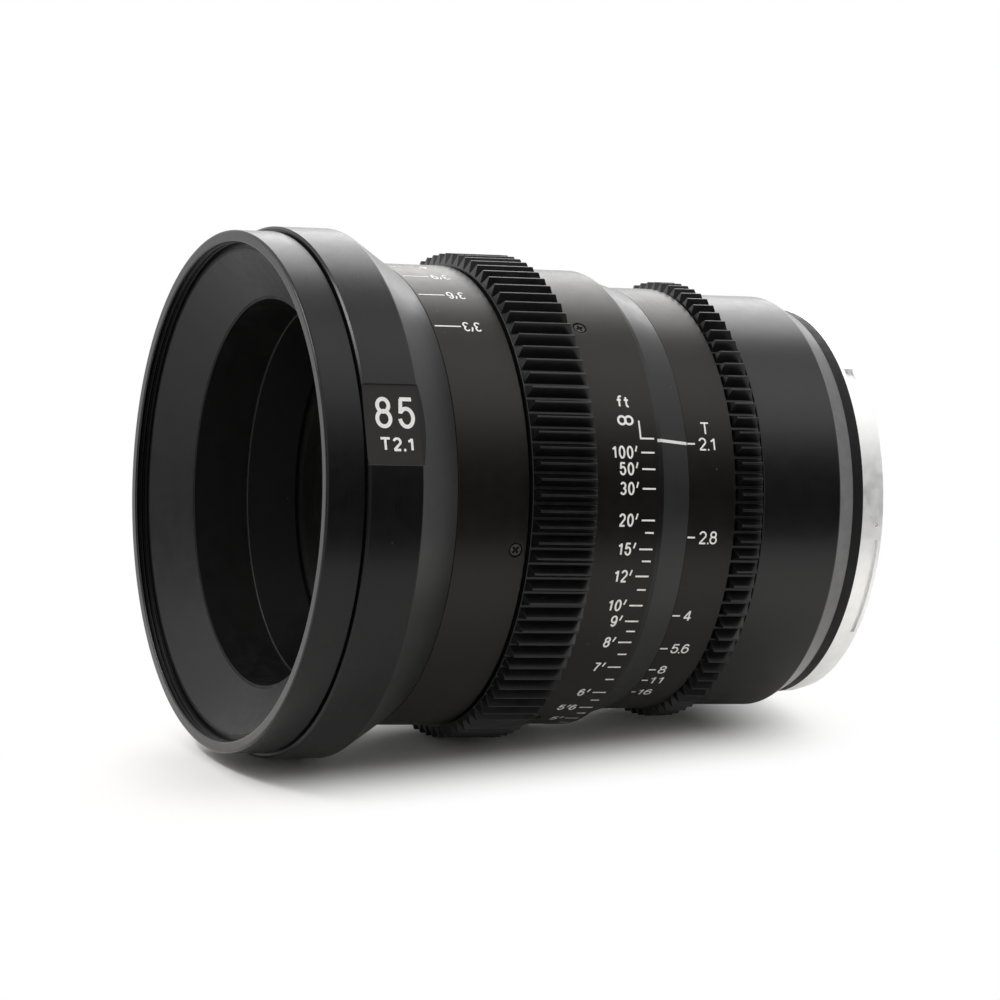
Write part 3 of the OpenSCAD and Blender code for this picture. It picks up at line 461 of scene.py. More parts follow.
def buildFrontRing(p):
    rim = filterSpan.front
    radius = p["radius"]
    threadCore = radius - p["wall"]
    threadEnd = rim - p["threadLength"]
    front = rim - p["length"]
    joint = filterSpan.rear
    grooveR = radius - p["grooveDepth"]
    jointR = grooveR - p["jointWall"]
    groove = barrelSpan.front + seatGap
    seat = funnelSpan.radius + seatGap
    shelf = funnelSpan.rear - seatGap
    bore = tubeSpan.radius + p["boreGap"]
    corners = [(bore, joint), (jointR, joint), (jointR, groove), (grooveR, groove), (grooveR, front),
               (radius, front), (radius, rim), (threadCore, rim), (threadCore, threadEnd), (seat, threadEnd),
               (seat, shelf), (bore, shelf)]
    rounds = [hiddenRound] * 2 + [fineRound] * 3 + [p["edgeRound"], p["rimRound"], p["boreRound"]] + [
        fineRound] * 3 + [hiddenRound]
    outline, wear = ringOutline(corners, rounds)
    # rows for the thread on the bore between rim and threadEnd
    onBore = np.abs(outline[:, 0] - threadCore) < 1e-6
    k = np.argmax(np.abs(runs(outline)[:, 1]) * onBore)
    outline, wear = splitRun(outline, wear, k, np.linspace(0.0, 1.0, p["threadRows"])[1:-1])
    angle = around(p["columns"])
    reach, station = outline.T[:, :, None] + 0 * angle
    # helical thread: depth follows a triangle wave of z/pitch - t/2pi, faded at both ends
    phase = np.mod(station / p["threadPitch"] - angle / (2 * math.pi), 1.0)
    valley = np.clip(1.4 * (1 - np.abs(2 * phase - 1)) - 0.2, 0, 1)
    fade = np.clip((rim - p["boreRound"] - station) / 0.1, 0, 1)
    fade = fade * np.clip((station - threadEnd - 0.1) / 0.15, 0, 1)
    inThread = (np.abs(reach - threadCore) < 0.02) & (station > threadEnd) & (station < rim)
    reach = reach + p["threadDepth"] * valley * fade * inThread
    points = turnedPoints(reach, station, angle[None, :])
    faces = gridFaces(*reach.shape)
    # the thread bore takes the darker recess black: painted shade
    inside = (reach.ravel()[faces].max(1) < threadCore + p["threadDepth"] + 0.02) & (
        station.ravel()[faces].max(1) < rim - 0.6 * p["boreRound"])
    onRim = station.ravel()[faces].min(1) > rim - p["rimRound"]
    piece = meshPiece("frontRing", points, faces, looks("blackAnodised", "shadedRecessBlack", "rimBlack"),
                      wear[:, None] + 0 * angle, np.where(onRim, 2, inside))
    return standIn(piece, "barrel", "black_anodised", "filter_ring")


buildFrontRing(frontRing)


# Funnel inside the front ring

funnelShape = {"mouthWall": 0.5, "lipStep": 0.47, "noseGap": 0.05, "round": 0.008, "columns": 384}


def buildFunnel(p):
    lip, mouth, outer = funnelSpan
    lipR = span("lens_block").radius + p["noseGap"] + p["lipStep"]
    corners = [(lipR, lip), (outer, lip), (outer, mouth), (outer - p["mouthWall"], mouth)]
    piece = plainRing("frontFunnel", corners, p["round"], look["funnelSatin"], p["columns"])
    return standIn(piece, "barrel", "satin_grey", "front_funnel")


buildFunnel(funnelShape)


# Front barrel: cone, large ring and the milled flat that carries the label

frontBarrel = {"coneLength": 8.4, "flatDepth": 0.5, "flatStep": 0.18, "chamfer": 0.35, "edgeRound": 0.05,
               "coneRound": 0.18, "rearRound": 0.06, "pocketDepth": 4.0, "runOut": (0.2, 1.6),
               "runOutRows": 15, "brinkGlintWidth": 0.0016, "columns": 360}


def buildFrontBarrel(p):
    rear, front, radius = barrelSpan
    big = rear + p["coneLength"]
    pocketR = frontRing["radius"] - frontRing["grooveDepth"] - frontRing["jointWall"] + seatGap
    pocket = front - p["pocketDepth"]
    corners = [(tubeSeat, rear), (frontSleeveSpan.radius, rear), (radius, big),
               (radius, front - p["chamfer"]), (radius - p["chamfer"], front), (pocketR, front),
               (pocketR, pocket), (tubeSeat, pocket)]
    rounds = [hiddenRound, p["rearRound"], p["coneRound"], p["edgeRound"], p["edgeRound"], p["rearRound"],
              fineRound, hiddenRound]
    outline, wear = ringOutline(corners, rounds)
    # closer rows on the cone beside the large ring, where the milled flat runs out
    step = runs(outline)
    k = np.argmax(np.abs(step[:, 1]) * (np.abs(step[:, 0]) > 1))
    share = np.abs((big - np.linspace(*p["runOut"], p["runOutRows"]) - outline[k, 1]) / step[k, 1])
    outline, wear = splitRun(outline, wear, k, share)
    flatAway = radius - p["flatDepth"]
    half = math.acos(flatAway / radius)
    edges = np.concatenate([indexAngle + s * (half + np.linspace(-0.004, 0.004, 7)) for s in (-1, 1)])
    angle = around(p["columns"], [edges, indexAngle + np.linspace(-half, half, 25)])
    away = np.angle(np.exp(1j * (angle - indexAngle)))
    reach, station = outline.T[:, :, None] + 0 * angle
    # the milled flat: r = min(r, d / cos(t - t0)), on the large ring alone, with a step at both ends
    milled = np.where(np.abs(away) < half, (flatAway - p["flatStep"]) / np.cos(away), 1e3)
    onRing = station > big - p["coneLength"] / 3
    onFlat = (reach > milled) & onRing
    reach = np.where(onFlat, milled, reach)
    # bright line along the lower edge of the flat, where it faces the light: a painted highlight
    brinkGlint = np.exp(-((away + half) / p["brinkGlintWidth"]) ** 2) * (station > big)
    faces = gridFaces(*reach.shape)
    middle = station.ravel()[faces].mean(1)
    flatFace = (onFlat.ravel()[faces].sum(1) >= 3) & (middle > big) & (middle < front)
    points = turnedPoints(reach, station, angle[None, :])
    wearAndGlintGrid = np.maximum(wear[:, None] * (1 - 0.7 * onFlat), 0.8 * brinkGlint)
    outside = outline[:, 0] > frontSleeveSpan.radius - 0.1
    onCone = (station.ravel()[faces].max(1) < big + 0.05) & outside[faces[:, 0] // len(angle)]
    piece = meshPiece("frontBarrel", points, faces, looks("blackAnodised", "labelPlate", "rearBlack"),
                      wearAndGlintGrid, np.where(onCone, 2, flatFace))
    return standIn(piece, "barrel", "black_anodised", "front_barrel")


buildFrontBarrel(frontBarrel)
print("front pieces made")


# Plain sleeves of the focus ring, with a sunk seat round each screw

sleeveScrews = {"seatR": 1.22, "seatDepth": 0.3, "count": 3, "frontFirst": -2.3, "frontInset": 2.0,
                "rearFirst": 57.3, "rearInset": 2.1, "frontSeam": 0.17, "rearSeam": 0.02, "gearSeam": 0.2,
                "gearLip": 0.28, "lipDrop": 0.9, "gearRound": 0.14, "rearRound": 0.08, "closeReach": 1.5,
                "closeRows": 61, "headR": 0.95, "headLength": 0.7, "headDrop": 0.1, "armLength": 0.68,
                "armWidth": 0.2, "recess": 0.3, "frontTurn": 45.0, "rearTurn": 20.0, "columns": 288}


def screwAngles(firstAngle, p):
    return np.radians(firstAngle + 360 / p["count"] * np.arange(p["count"]))


def sleeve(name, corners, rounds, material, screwStation, firstAngle, p):
    outline, wear = ringOutline(corners, rounds)
    close = np.linspace(-p["closeReach"], p["closeReach"], p["closeRows"])
    outline, wear = moreRows(outline, wear, screwStation + close)
    radius = outline[:, 0].max()
    screws = screwAngles(firstAngle, p)
    angle = around(p["columns"], [s + close / radius for s in screws])
    reach, station = outline.T[:, :, None] + 0 * angle
    away = np.min(np.abs(np.angle(np.exp(1j * (angle[:, None] - screws[None])))), 1) * radius
    distance = np.hypot(away[None, :], station - screwStation)
    # seat: a round step with a small slope at its edge
    seat = np.clip((p["seatR"] - distance) / 0.1, 0, 1) * (reach > radius - 0.01)
    reach = reach - p["seatDepth"] * seat
    rim = np.exp(-((distance - p["seatR"] - 0.02) / 0.07) ** 2) * (reach > radius - 0.35)
    points = turnedPoints(reach, station, angle[None, :])
    faces = gridFaces(*reach.shape)
    # the sunk seats take the darker recess black: painted shade
    sunk = seat.ravel()[faces].max(1) > 0.5
    return meshPiece(name, points, faces, [material, look["shadedRecessBlack"]],
                     np.maximum(wear[:, None], 0.9 * rim), sunk)


def screwHeads(name, radius, station, firstAngle, turn, node, p):
    # heads on a polar grid: h(x, y) = -drop - recess * cross(x, y), then down the side and under
    ring = np.concatenate([np.linspace(0.01, p["headR"] - 0.08, 30), p["headR"] - np.array([0.03, 0.0, 0.0]),
                           [0.01]])[:, None]
    fall = np.concatenate([np.zeros(30), [0.01, 0.06, p["headLength"], p["headLength"]]])[:, None]
    phi = np.linspace(0, 2 * math.pi, 96, endpoint=False)[None, :]
    x, y = ring * np.cos(phi), ring * np.sin(phi)
    c, s = math.cos(math.radians(turn)), math.sin(math.radians(turn))
    a, b = np.abs(c * x + s * y), np.abs(c * y - s * x)
    bars = [np.clip((p["armWidth"] - i) / 0.05, 0, 1) * np.clip((p["armLength"] - j) / 0.05, 0, 1)
            for i, j in ((a, b), (b, a))]
    cross = np.maximum(*bars) * (fall < 0.005)
    height = radius - p["headDrop"] - fall - p["recess"] * cross
    faces = gridFaces(*x.shape)
    # the cross and the side of each head take the darker recess black: painted shade
    dark = (cross.ravel()[faces].max(1) > 0.5) | (fall[:, 0][faces // x.shape[1]].max(1) > 0.1)
    parts = []
    for angle in screwAngles(firstAngle, p):
        out = np.array([math.cos(angle), 0, math.sin(angle)])
        up = np.array([-math.sin(angle), 0, math.cos(angle)])
        laid = height[..., None] * out + (x[..., None] - station) * np.array([0, 1, 0]) + y[..., None] * up
        parts.append(laid.reshape(-1, 3) * mm)
    count = x.size
    allFaces = np.concatenate([faces + count * k for k in range(p["count"])])
    piece = meshPiece(name, np.concatenate(parts), allFaces, looks("screwSteel", "shadedRecessBlack"), None,
                      np.tile(dark, p["count"]))
    return standIn(piece, "focus_ring", "screw_steel", node)


def buildSleeves(p):
    rear, front, radius = frontSleeveSpan
    lip, lipR = rear - p["gearLip"], radius - p["lipDrop"]
    corners = [(sleeveBore, lip), (lipR, lip), (lipR, rear + p["gearSeam"]), (radius, rear + p["gearSeam"]),
               (radius, front + p["frontSeam"]), (sleeveBore, front)]
    rounds = [fineRound, fineRound, fineRound, p["gearRound"], fineRound, hiddenRound]
    place = rear + p["frontInset"]
    piece = sleeve("focusFrontSleeve", corners, rounds, look["sleeveBlack"], place, p["frontFirst"], p)
    standIn(piece, "focus_ring", "black_anodised", "focus_front_sleeve")
    screwHeads("focusFrontScrews", radius, place, p["frontFirst"], p["frontTurn"], "focus_front_screws", p)
    rear, front, radius = scaleSpan
    corners = [(sleeveBore, rear), (radius, rear - p["rearSeam"]), (radius, front), (sleeveBore, front)]
    rounds = [hiddenRound, p["rearSeam"], p["rearRound"], hiddenRound]
    place = front + seatGap - p["rearInset"]
    piece = sleeve("focusScaleSleeve", corners, rounds, look["sleeveBlack"], place, p["rearFirst"], p)
    standIn(piece, "focus_ring", "black_anodised", "focus_scale_sleeve")
    screwHeads("focusRearScrews", radius, place, p["rearFirst"], p["rearTurn"], "focus_rear_screws", p)


buildSleeves(sleeveScrews)


# Gear rings

gearTeeth = {"module": 0.8, "rootShare": 0.402, "crestShare": 0.055, "rearChamfer": 0.7, "frontChamfer": 0.55,
             "crestRound": 0.06, "footRound": 0.09, "bevel": 0.03, "rim": 0.1, "focusTeeth": 98,
             "irisTeeth": 89, "irisWall": 0.62}


def gearOutline(teeth, root, crest, p):
    # four corners a tooth, rounded in the plane of the gear; returns angle, radius and wear by column
    middle = 2 * math.pi * np.arange(teeth)[:, None] / teeth
    share = np.array([-p["rootShare"], -p["crestShare"], p["crestShare"], p["rootShare"]])
    angle = middle + share * 2 * math.pi / teeth
    reach = np.array([root, crest, crest, root]) + 0 * angle
    corners = np.stack([reach * np.cos(angle), reach * np.sin(angle)], -1).reshape(-1, 2)
    rounds = np.tile([p["footRound"], p["crestRound"], p["crestRound"], p["footRound"]], teeth)
    outline, wear = roundedOutline(corners[::-1], rounds, 3, 0.05)
    outline, wear = outline[::-1], wear[::-1]
    return np.unwrap(np.arctan2(outline[:, 1], outline[:, 0])), np.hypot(outline[:, 0], outline[:, 1]), wear


def buildGear(name, ring, bore, teeth, node, body, p):
    pitchR = teeth * p["module"] / 2
    root = pitchR - 1.25 * p["module"]
    crest = pitchR + p["module"]
    angle, tooth, columnWear = gearOutline(teeth, root, crest, p)
    rise = np.clip((tooth - root) / (crest - root), 0, 1)
    rear, front = ring.rear, ring.front
    low, high = rear + p["rim"], front - p["rim"]
    b = p["bevel"]

    def endRows(edge, way, chamfer):
        # rows from the plain rim up the sloped tooth end; way is 1 at the rear end, -1 at the front
        slope = chamfer * rise
        return [(root, edge - way * 0.03, 0.0), (root, edge, 0.0),
                (tooth - 0.5 * b * rise, edge + way * (slope + 0.002), 0.0),
                (tooth, edge + way * (slope + b * rise + 0.004), 0.25),
                (tooth, edge + way * (chamfer + 2 * b), 0.0)]

    # each row has its radius, station and wear
    rows = [(bore, rear, 0.0), (root - 2 * b, rear, 0.0), (root - 0.5 * b, rear + 0.5 * b, 1.0),
            (root, rear + 2 * b, 0.0)]
    rows += endRows(low, 1, p["rearChamfer"]) + endRows(high, -1, p["frontChamfer"])[::-1]
    rows += [(root, front - 2 * b, 0.0), (root - 0.5 * b, front - 0.5 * b, 1.0), (root - 2 * b, front, 0.0),
             (bore, front, 0.0)]
    rows = rows[::-1]
    reach, station, rowWear = (np.stack([row[k] + 0 * angle for row in rows]) for k in range(3))
    onTooth = np.clip((reach - root) / 0.3, 0, 1)
    onRow = np.where(reach > root + 0.2, rise[None, :], reach <= root)
    wear = np.maximum(columnWear[None, :] * onTooth, rowWear * onRow)
    points = turnedPoints(reach, station, angle[None, :])
    # the sloped ends of the teeth are flat in the shading, and those in front are painted darker: a painted
    # shade
    frontSlope, rearSlope = 5, 11
    faceRow = np.repeat(np.arange(len(rows)), len(angle))
    piece = meshPiece(name, points, gridFaces(*reach.shape), looks("gearBlack", "gearEndShade"), wear,
                      faceRow == frontSlope)
    piece.data.polygons.foreach_set("use_smooth", (faceRow != frontSlope) & (faceRow != rearSlope))
    return standIn(piece, body, "gear_black", node)


buildGear("focusGear", gearSpan, sleeveBore, gearTeeth["focusTeeth"], "focus_gear", "focus_ring", gearTeeth)
buildGear("irisGear", irisGearSpan, tubeSpan.radius + gearTeeth["irisWall"], gearTeeth["irisTeeth"],
          "iris_gear", "iris_ring", gearTeeth)
print("focus ring and gears made")


# Index ring, iris ring and the rear of the barrel

rearRings = {"indexEdge": 0.05, "lipLength": 1.0, "lipSeam": 0.18, "irisSeat": 0.55, "irisEdge": 0.07,
             "irisSeam": 0.24, "gearSeam": 0.16, "bevelLength": 3.5, "bevelStep": 0.2, "endWall": 3.85,
             "barrelEdge": 0.16, "spacerEdge": 0.12, "spacerBore": 24.6, "spacerWall": 0.5, "slipGap": 0.05}


def buildRearRings(p):
    iris = irisSpan.radius
    lip, bend = indexSpan.front + p["lipSeam"], indexSpan.front - p["lipLength"]
    lipIn = camSpan.radius + p["slipGap"]
    corners = [(tubeSeat, indexSpan.rear), (iris, indexSpan.rear), (indexSpan.radius, bend),
               (indexSpan.radius, lip), (lipIn, lip), (lipIn, bend), (tubeSeat, bend)]
    piece = plainRing("indexRing", corners, p["indexEdge"], look["graphite"])
    standIn(piece, "barrel", "graphite_anodised", "index_ring")
    bore = tubeSpan.radius + p["slipGap"]
    seatR = bore + p["irisSeat"]
    step = irisGearSpan.front + p["gearSeam"]
    corners = [(bore, irisSpan.rear), (seatR, irisSpan.rear), (seatR, step), (iris, step),
               (iris, irisSpan.front + p["irisSeam"]), (bore, irisSpan.front)]
    piece = plainRing("irisRing", corners, p["irisEdge"], look["sleeveBlack"])
    standIn(piece, "iris_ring", "black_anodised", "iris_ring")
    rear, front, radius = rearSpan
    bevelR = spacerSpan.radius + p["bevelStep"]
    hole = p["spacerBore"] + p["spacerWall"]
    corners = [(hole, rear), (bevelR, rear), (radius, rear + p["bevelLength"]), (radius, front),
               (tubeSeat, front), (tubeSeat, rear + p["endWall"]), (hole, rear + p["endWall"])]
    outline, wear = ringOutline(corners, p["barrelEdge"])
    middle = outline + 0.5 * runs(outline)
    onBevel = (middle[:, 0] > bevelR - 0.02) & (middle[:, 1] < rear + p["bevelLength"] - 0.1)
    piece = turnedPiece("rearBarrel", outline, wear, looks("rearBlack", "bevelSatin"), second=onBevel)
    standIn(piece, "barrel", "black_anodised", "rear_barrel")
    rear, front, radius = spacerSpan
    corners = [(p["spacerBore"], rear), (radius, rear), (radius, front), (p["spacerBore"], front)]
    piece = plainRing("mountSpacer", corners, p["spacerEdge"], look["tubeMatte"])
    standIn(piece, "barrel", "matte_black", "mount_spacer")


buildRearRings(rearRings)


# Front glass, with its true curve, and the ring round it

frontGlass = {"frontCurve": 78.0, "backCurve": 260.0, "edge": 0.15, "rings": 40, "columns": 160}


def buildFrontGlass(p):
    rear, top, radius = glassSpan
    h = radius * np.linspace(0.002, 0.995, p["rings"])
    # z = vertex - (c - sqrt(c^2 - h^2)) in front; the back is hollow, so its rim lies lowest
    front = np.stack([h, top - p["frontCurve"] + np.sqrt(p["frontCurve"] ** 2 - h * h)], -1)
    backSag = p["backCurve"] - np.sqrt(p["backCurve"] ** 2 - h * h)
    back = np.stack([h, rear + backSag[-1] - backSag], -1)
    rim = np.array([[radius, front[-1, 1] - p["edge"]], [radius, back[-1, 1] + p["edge"]]])
    outline = np.concatenate([front, rim, back[::-1]])
    piece = turnedPiece("frontGlass", outline, np.zeros(len(outline)), [frontGlassLook], p["columns"])
    return standIn(piece, "optical_block", "coated_glass", "front_element")


buildFrontGlass(frontGlass)

noseShape = {"edge": 0.08, "rimWidth": 0.42, "clear": 28.07, "seat": 0.4, "highlightDepth": 0.09}


def buildNose(p):
    rear, front, radius = noseSpan
    corners = [(p["clear"], rear), (radius, rear), (radius, front), (radius - p["rimWidth"], front),
               (p["clear"], rear + p["seat"])]
    outline, wear = ringOutline(corners, [hiddenRound, hiddenRound, p["edge"], p["edge"], hiddenRound])
    # the narrow front face takes a lighter colour: a painted highlight
    highlightFace = (outline + 0.5 * runs(outline))[:, 1] > front - p["highlightDepth"]
    piece = turnedPiece("noseRing", outline, wear, looks("noseBlack", "noseEdgeHighlight"), second=highlightFace)
    return standIn(piece, "optical_block", "matte_black", "nose_ring")


buildNose(noseShape)
print("rear rings and glass made")


# Finishes of the CAD nodes that stay in view

nodeLooks = {
    "mountSteel": ["bayonet_mount", "cam_follower_pins", "iris_fork_pin"],
    "brightScrew": ["mount_screws"],
    "bronzeBearing": ["front_thrust_washer", "rear_thrust_washer", "focus_cam_sleeve"],
    "tubeMatte": ["main_barrel", "lens_block", "front_spacer", "front_cell", "front_retainer",
                  "iris_base_plate", "rear_cell", "rear_spacer", "rear_retainer", "rear_baffle"],
    "bladeSteel": ["iris_drive_ring", *[f"iris_blade_{i}" for i in range(1, 11)]],
}
glassNodes = ["front_doublet_crown", "front_doublet_flint", "rear_doublet_crown", "rear_doublet_flint",
              "rear_element"]


def dressNode(name, material):
    mesh = nodes[name].data
    mesh.materials.clear()
    mesh.materials.append(material)


for finish, names in nodeLooks.items():
    for name in names:
        dressNode(name, look[finish])
for name in glassNodes:
    dressNode(name, innerGlassLook)
print("carried-over nodes dressed")


# Markings: lines of paint with a centre line in mm, u along the axis to the rear and v up round the ring

def joined(parts):
    # several (points, faces) solids as one
    offsets = np.cumsum([0] + [len(points) for points, faces in parts[:-1]])
    points = np.concatenate([points for points, faces in parts])
    faces = [tuple(int(i) + int(o) for i in face) for (p, part), o in zip(parts, offsets) for face in part]
    return points, faces


def inkLine(path, width, depth=0.05):
    # flat ribbon along a path: each point moves half a width to both sides along the mitre of its corner;
    # a path that ends where it starts is closed
    path = np.asarray(path, float)
    closed = np.linalg.norm(path[0] - path[-1]) < 1e-6
    path = path[:-1] if closed else path
    ahead = np.roll(path, -1, 0) - path
    ahead = ahead / np.maximum(np.linalg.norm(ahead, axis=1), 1e-9)[:, None]
    behind = np.roll(ahead, 1, 0)
    if not closed:
        ahead[-1] = ahead[-2]
        behind[0] = ahead[0]
    left = np.stack([-ahead[:, 1], ahead[:, 0]], -1)
    mitre = left + np.stack([-behind[:, 1], behind[:, 0]], -1)
    mitre = mitre / np.linalg.norm(mitre, axis=1)[:, None]
    side = mitre * width / 2 / np.maximum(np.sum(mitre * left, 1), 0.6)[:, None]
    low, high = np.full((len(path), 1), -depth), np.zeros((len(path), 1))
    edges = ((side, low), (-side, low), (-side, high), (side, high))
    rows = [np.c_[path + across, level] for across, level in edges]
    count = len(path)
    faces = gridFaces(4, count)[:, ::-1]
    if closed:
        return np.concatenate(rows), faces.tolist()
    faces = faces.reshape(4, count, 4)[:, :-1].reshape(-1, 4).tolist()
    corner = count * np.arange(4)
    return np.concatenate(rows), faces + [corner.tolist(), (corner[::-1] + count - 1).tolist()]


def stroke(start, end, width):
    # straight line with enough points to follow the curve of a ring
    steps = 2 + int(np.hypot(end[0] - start[0], end[1] - start[1]) / 0.4)
    return inkLine(np.linspace(start, end, steps), width)


def bow(centre, reach, start, end, steps=13):
    # arc of an ellipse: c + (a cos t, b sin t)
    t = np.radians(np.linspace(start, end, steps))
    return np.stack([centre[0] + reach[0] * np.cos(t), centre[1] + reach[1] * np.sin(t)], -1)


def glyphLines(w):
    # centre lines of plain sans digits and letters in a box of width w and height 1
    m = w / 2
    return {
        "0": [bow((m, 0.5), (m, 0.5), 90, 450, 25)],
        "1": [[(0.12 * w, 0.76), (0.42 * w, 0.82), (0.62 * w, 0.95)], [(0.66 * w, 1), (0.66 * w, 0)]],
        "2": [[*bow((m, 0.71), (m, 0.29), 168, -28), (0.05 * w, 0.03)], [(-0.02, 0), (w, 0)]],
        "3": [bow((m, 0.745), (0.9 * m, 0.255), 158, -88), bow((m, 0.26), (m, 0.26), 88, -158)],
        "4": [[(0.72 * w, 1), (0, 0.3)], [(-0.04, 0.28), (1.08 * w, 0.28)], [(0.74 * w, 1), (0.74 * w, 0)]],
        "5": [[(0.96 * w, 1), (0.08 * w, 1)], [(0.15 * w, 1), (0.06 * w, 0.48)],
              bow((m, 0.33), (m, 0.33), 143, -172, 19)],
        "6": [bow((m, 0.32), (m, 0.32), 90, 450, 25), bow((m, 0.5), (m, 0.5), 42, 188)],
        "7": [[(0, 1), (1.02 * w, 1)], [(0.97 * w, 1), (0.62 * w, 0.64), (0.4 * w, 0.3), (0.32 * w, 0)]],
        "8": [bow((m, 0.765), (0.85 * m, 0.235), 90, 450, 25), bow((m, 0.28), (m, 0.28), 90, 450, 25)],
        "9": [bow((m, 0.68), (m, 0.32), 90, 450, 25), bow((m, 0.5), (m, 0.5), -138, 8)],
        ".": [[(0, 0), (0.001, 0)]],
        "T": [[(-0.05 * w, 1), (1.35 * w, 1)], [(0.65 * w, 1), (0.65 * w, 0)]],
        "f": [[*bow((1.0 * w, 0.84), (0.5 * w, 0.16), 55, 180, 8), (0.5 * w, 0)],
              [(-0.1 * w, 0.63), (1.05 * w, 0.63)]],
        "t": [[(0.44 * w, 0.92), *bow((0.84 * w, 0.16), (0.4 * w, 0.16), 180, 290, 8)],
              [(-0.1 * w, 0.63), (1.05 * w, 0.63)]],
    }


def letters(text, p):
    # a word as ribbons: height, stroke and gap in mm, width as a share of the height; starts at u 0 and
    # is middled on v
    height, thick, width = p["height"], p["thick"], p["width"]
    inner = height - thick
    lines = glyphLines(width * height / inner)
    wide = {"T": 1.3, "1": 0.86, ".": 0.0}
    parts = []
    u = thick / 2
    for char, following in zip(text, text[1:] + " "):
        dot = char == "."
        for k, line in enumerate(lines[char]):
            path = np.asarray(line, float)
            path = path + [[0, 0], [thick / inner * 0.9, 0]] if dot else path
            steps = [np.linspace(a, b, 4)[:-1] for a, b in zip(path[:-1], path[1:])]
            fine = np.concatenate([*steps, path[-1:]])
            points, faces = inkLine(fine * inner + [u, -inner / 2], thick)
            parts.append((points + [0, 0, inkStep * k], faces))
        gap = p["gap"] * (0.35 if following == "." else 1.0)
        u += wide.get(char, 1.0) * width * height + thick + gap
    return joined(parts)


def placed(part, u, v, turn=0.0, align="left"):
    points, faces = part
    points = points.copy()
    low, high = points[:, 0].min(), points[:, 0].max()
    points[:, 0] -= {"left": low, "right": high, "middle": (low + high) / 2}[align]
    c, s = math.cos(turn), math.sin(turn)
    x, y = points[:, 0] * c - points[:, 1] * s, points[:, 0] * s + points[:, 1] * c
    return np.c_[x + u, y + v, points[:, 2]], faces


def wrapped(name, parts, angleZero, radius, body, radiusAt=None):
    # lays u, v, h on the ring: angle = t0 + v / r, station = u, radius = r(u) + h; r is even unless given
    points, faces = joined(parts)
    u, v, h = points.T
    ground = radiusAt(u) if radiusAt else radius
    laid = turnedPoints(ground + h + markLift, -u, angleZero + v / radius)
    return paintPiece(name, laid, faces, body)


def paintPiece(name, points, faces, body):
    piece = meshPiece(name, points, faces, [paint])
    piece.data.polygons.foreach_set("use_smooth", np.zeros(len(piece.data.polygons), bool))
    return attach(piece, body)


# lines of one sign that cross lie inkStep apart in height
markLift, inkStep = 0.02, 0.006
# u is counted as Y in mm, so the front rim is at rimY
rimY = -filterSpan.front


def tick(reach, v, width):
    return stroke((rimY + reach[0], v), (rimY + reach[1], v), width)


def sign(p):
    # a word of its own, middled on its place
    u, v = p["place"]
    return placed(letters(p["text"], p), rimY + u, v, 0.0, "middle")


# distances in feet; nudge moves a mark, in degrees, to where the photograph has it
focusScale = {"height": 2.15, "thick": 0.31, "width": 0.40, "gap": 0.26, "labelGap": 0.63,
              "longTick": (57.0, 59.35), "shortTick": (57.75, 59.3), "tickWidth": 0.28, "primeWidth": 0.26,
              "primeGap": 0.12, "primeSlant": 0.28, "primeRoom": 0.8,
              "feet": [100, 50, 30, 20, 15, 12, 10, 9, 8, 7, 6, 5.5, 5, 4.5, 4.25, 4, 3.75, 3.5, 3.25],
              "nudge": {30: -0.7, 12: -0.4, 9: -0.56, 8: -0.55, 7: -0.45, 6: -1.3, 5.5: -0.45, 5: -0.7},
              "noTickAfter": (100, 50, 30, 10),
              "unit": {"text": "ft", "height": 2.1, "thick": 0.32, "width": 0.3, "gap": 0.32,
                       "place": (54.75, 6.3)},
              "farLine": {"corner": 57.1, "end": 59.5, "rise": 3.0},
              "farSign": {"place": (54.72, 3.0), "apart": 0.62, "loop": (0.66, 0.68), "thick": 0.38}}
focusLaw = {"factor": 400.6, "inside": 0.574, "lag": 0.5}


def turnFor(feet):
    # turn of the ring from far focus to a distance d: factor / (d - inside) - lag, in degrees
    degrees = focusLaw["factor"] / (feet - focusLaw["inside"]) - focusLaw["lag"]
    return math.radians(degrees)


def scaleLabel(feet, p):
    # feet and inches, with a slanted foot mark after the feet; ends at u 0
    inches = round(feet % 1 * 12)
    height = p["height"]
    parts = []
    u = 0.0
    if inches:
        parts.append(placed(letters(str(inches), p), u, 0.0, 0.0, "right"))
        u = parts[0][0][:, 0].min() - p["primeGap"]
    top = u - p["primeGap"]
    parts.append(stroke((top - p["primeSlant"], 0.06 * height), (top, 0.5 * height), p["primeWidth"]))
    parts.append(placed(letters(str(int(feet)), p), u - p["primeRoom"], 0.0, 0.0, "right"))
    return joined(parts)


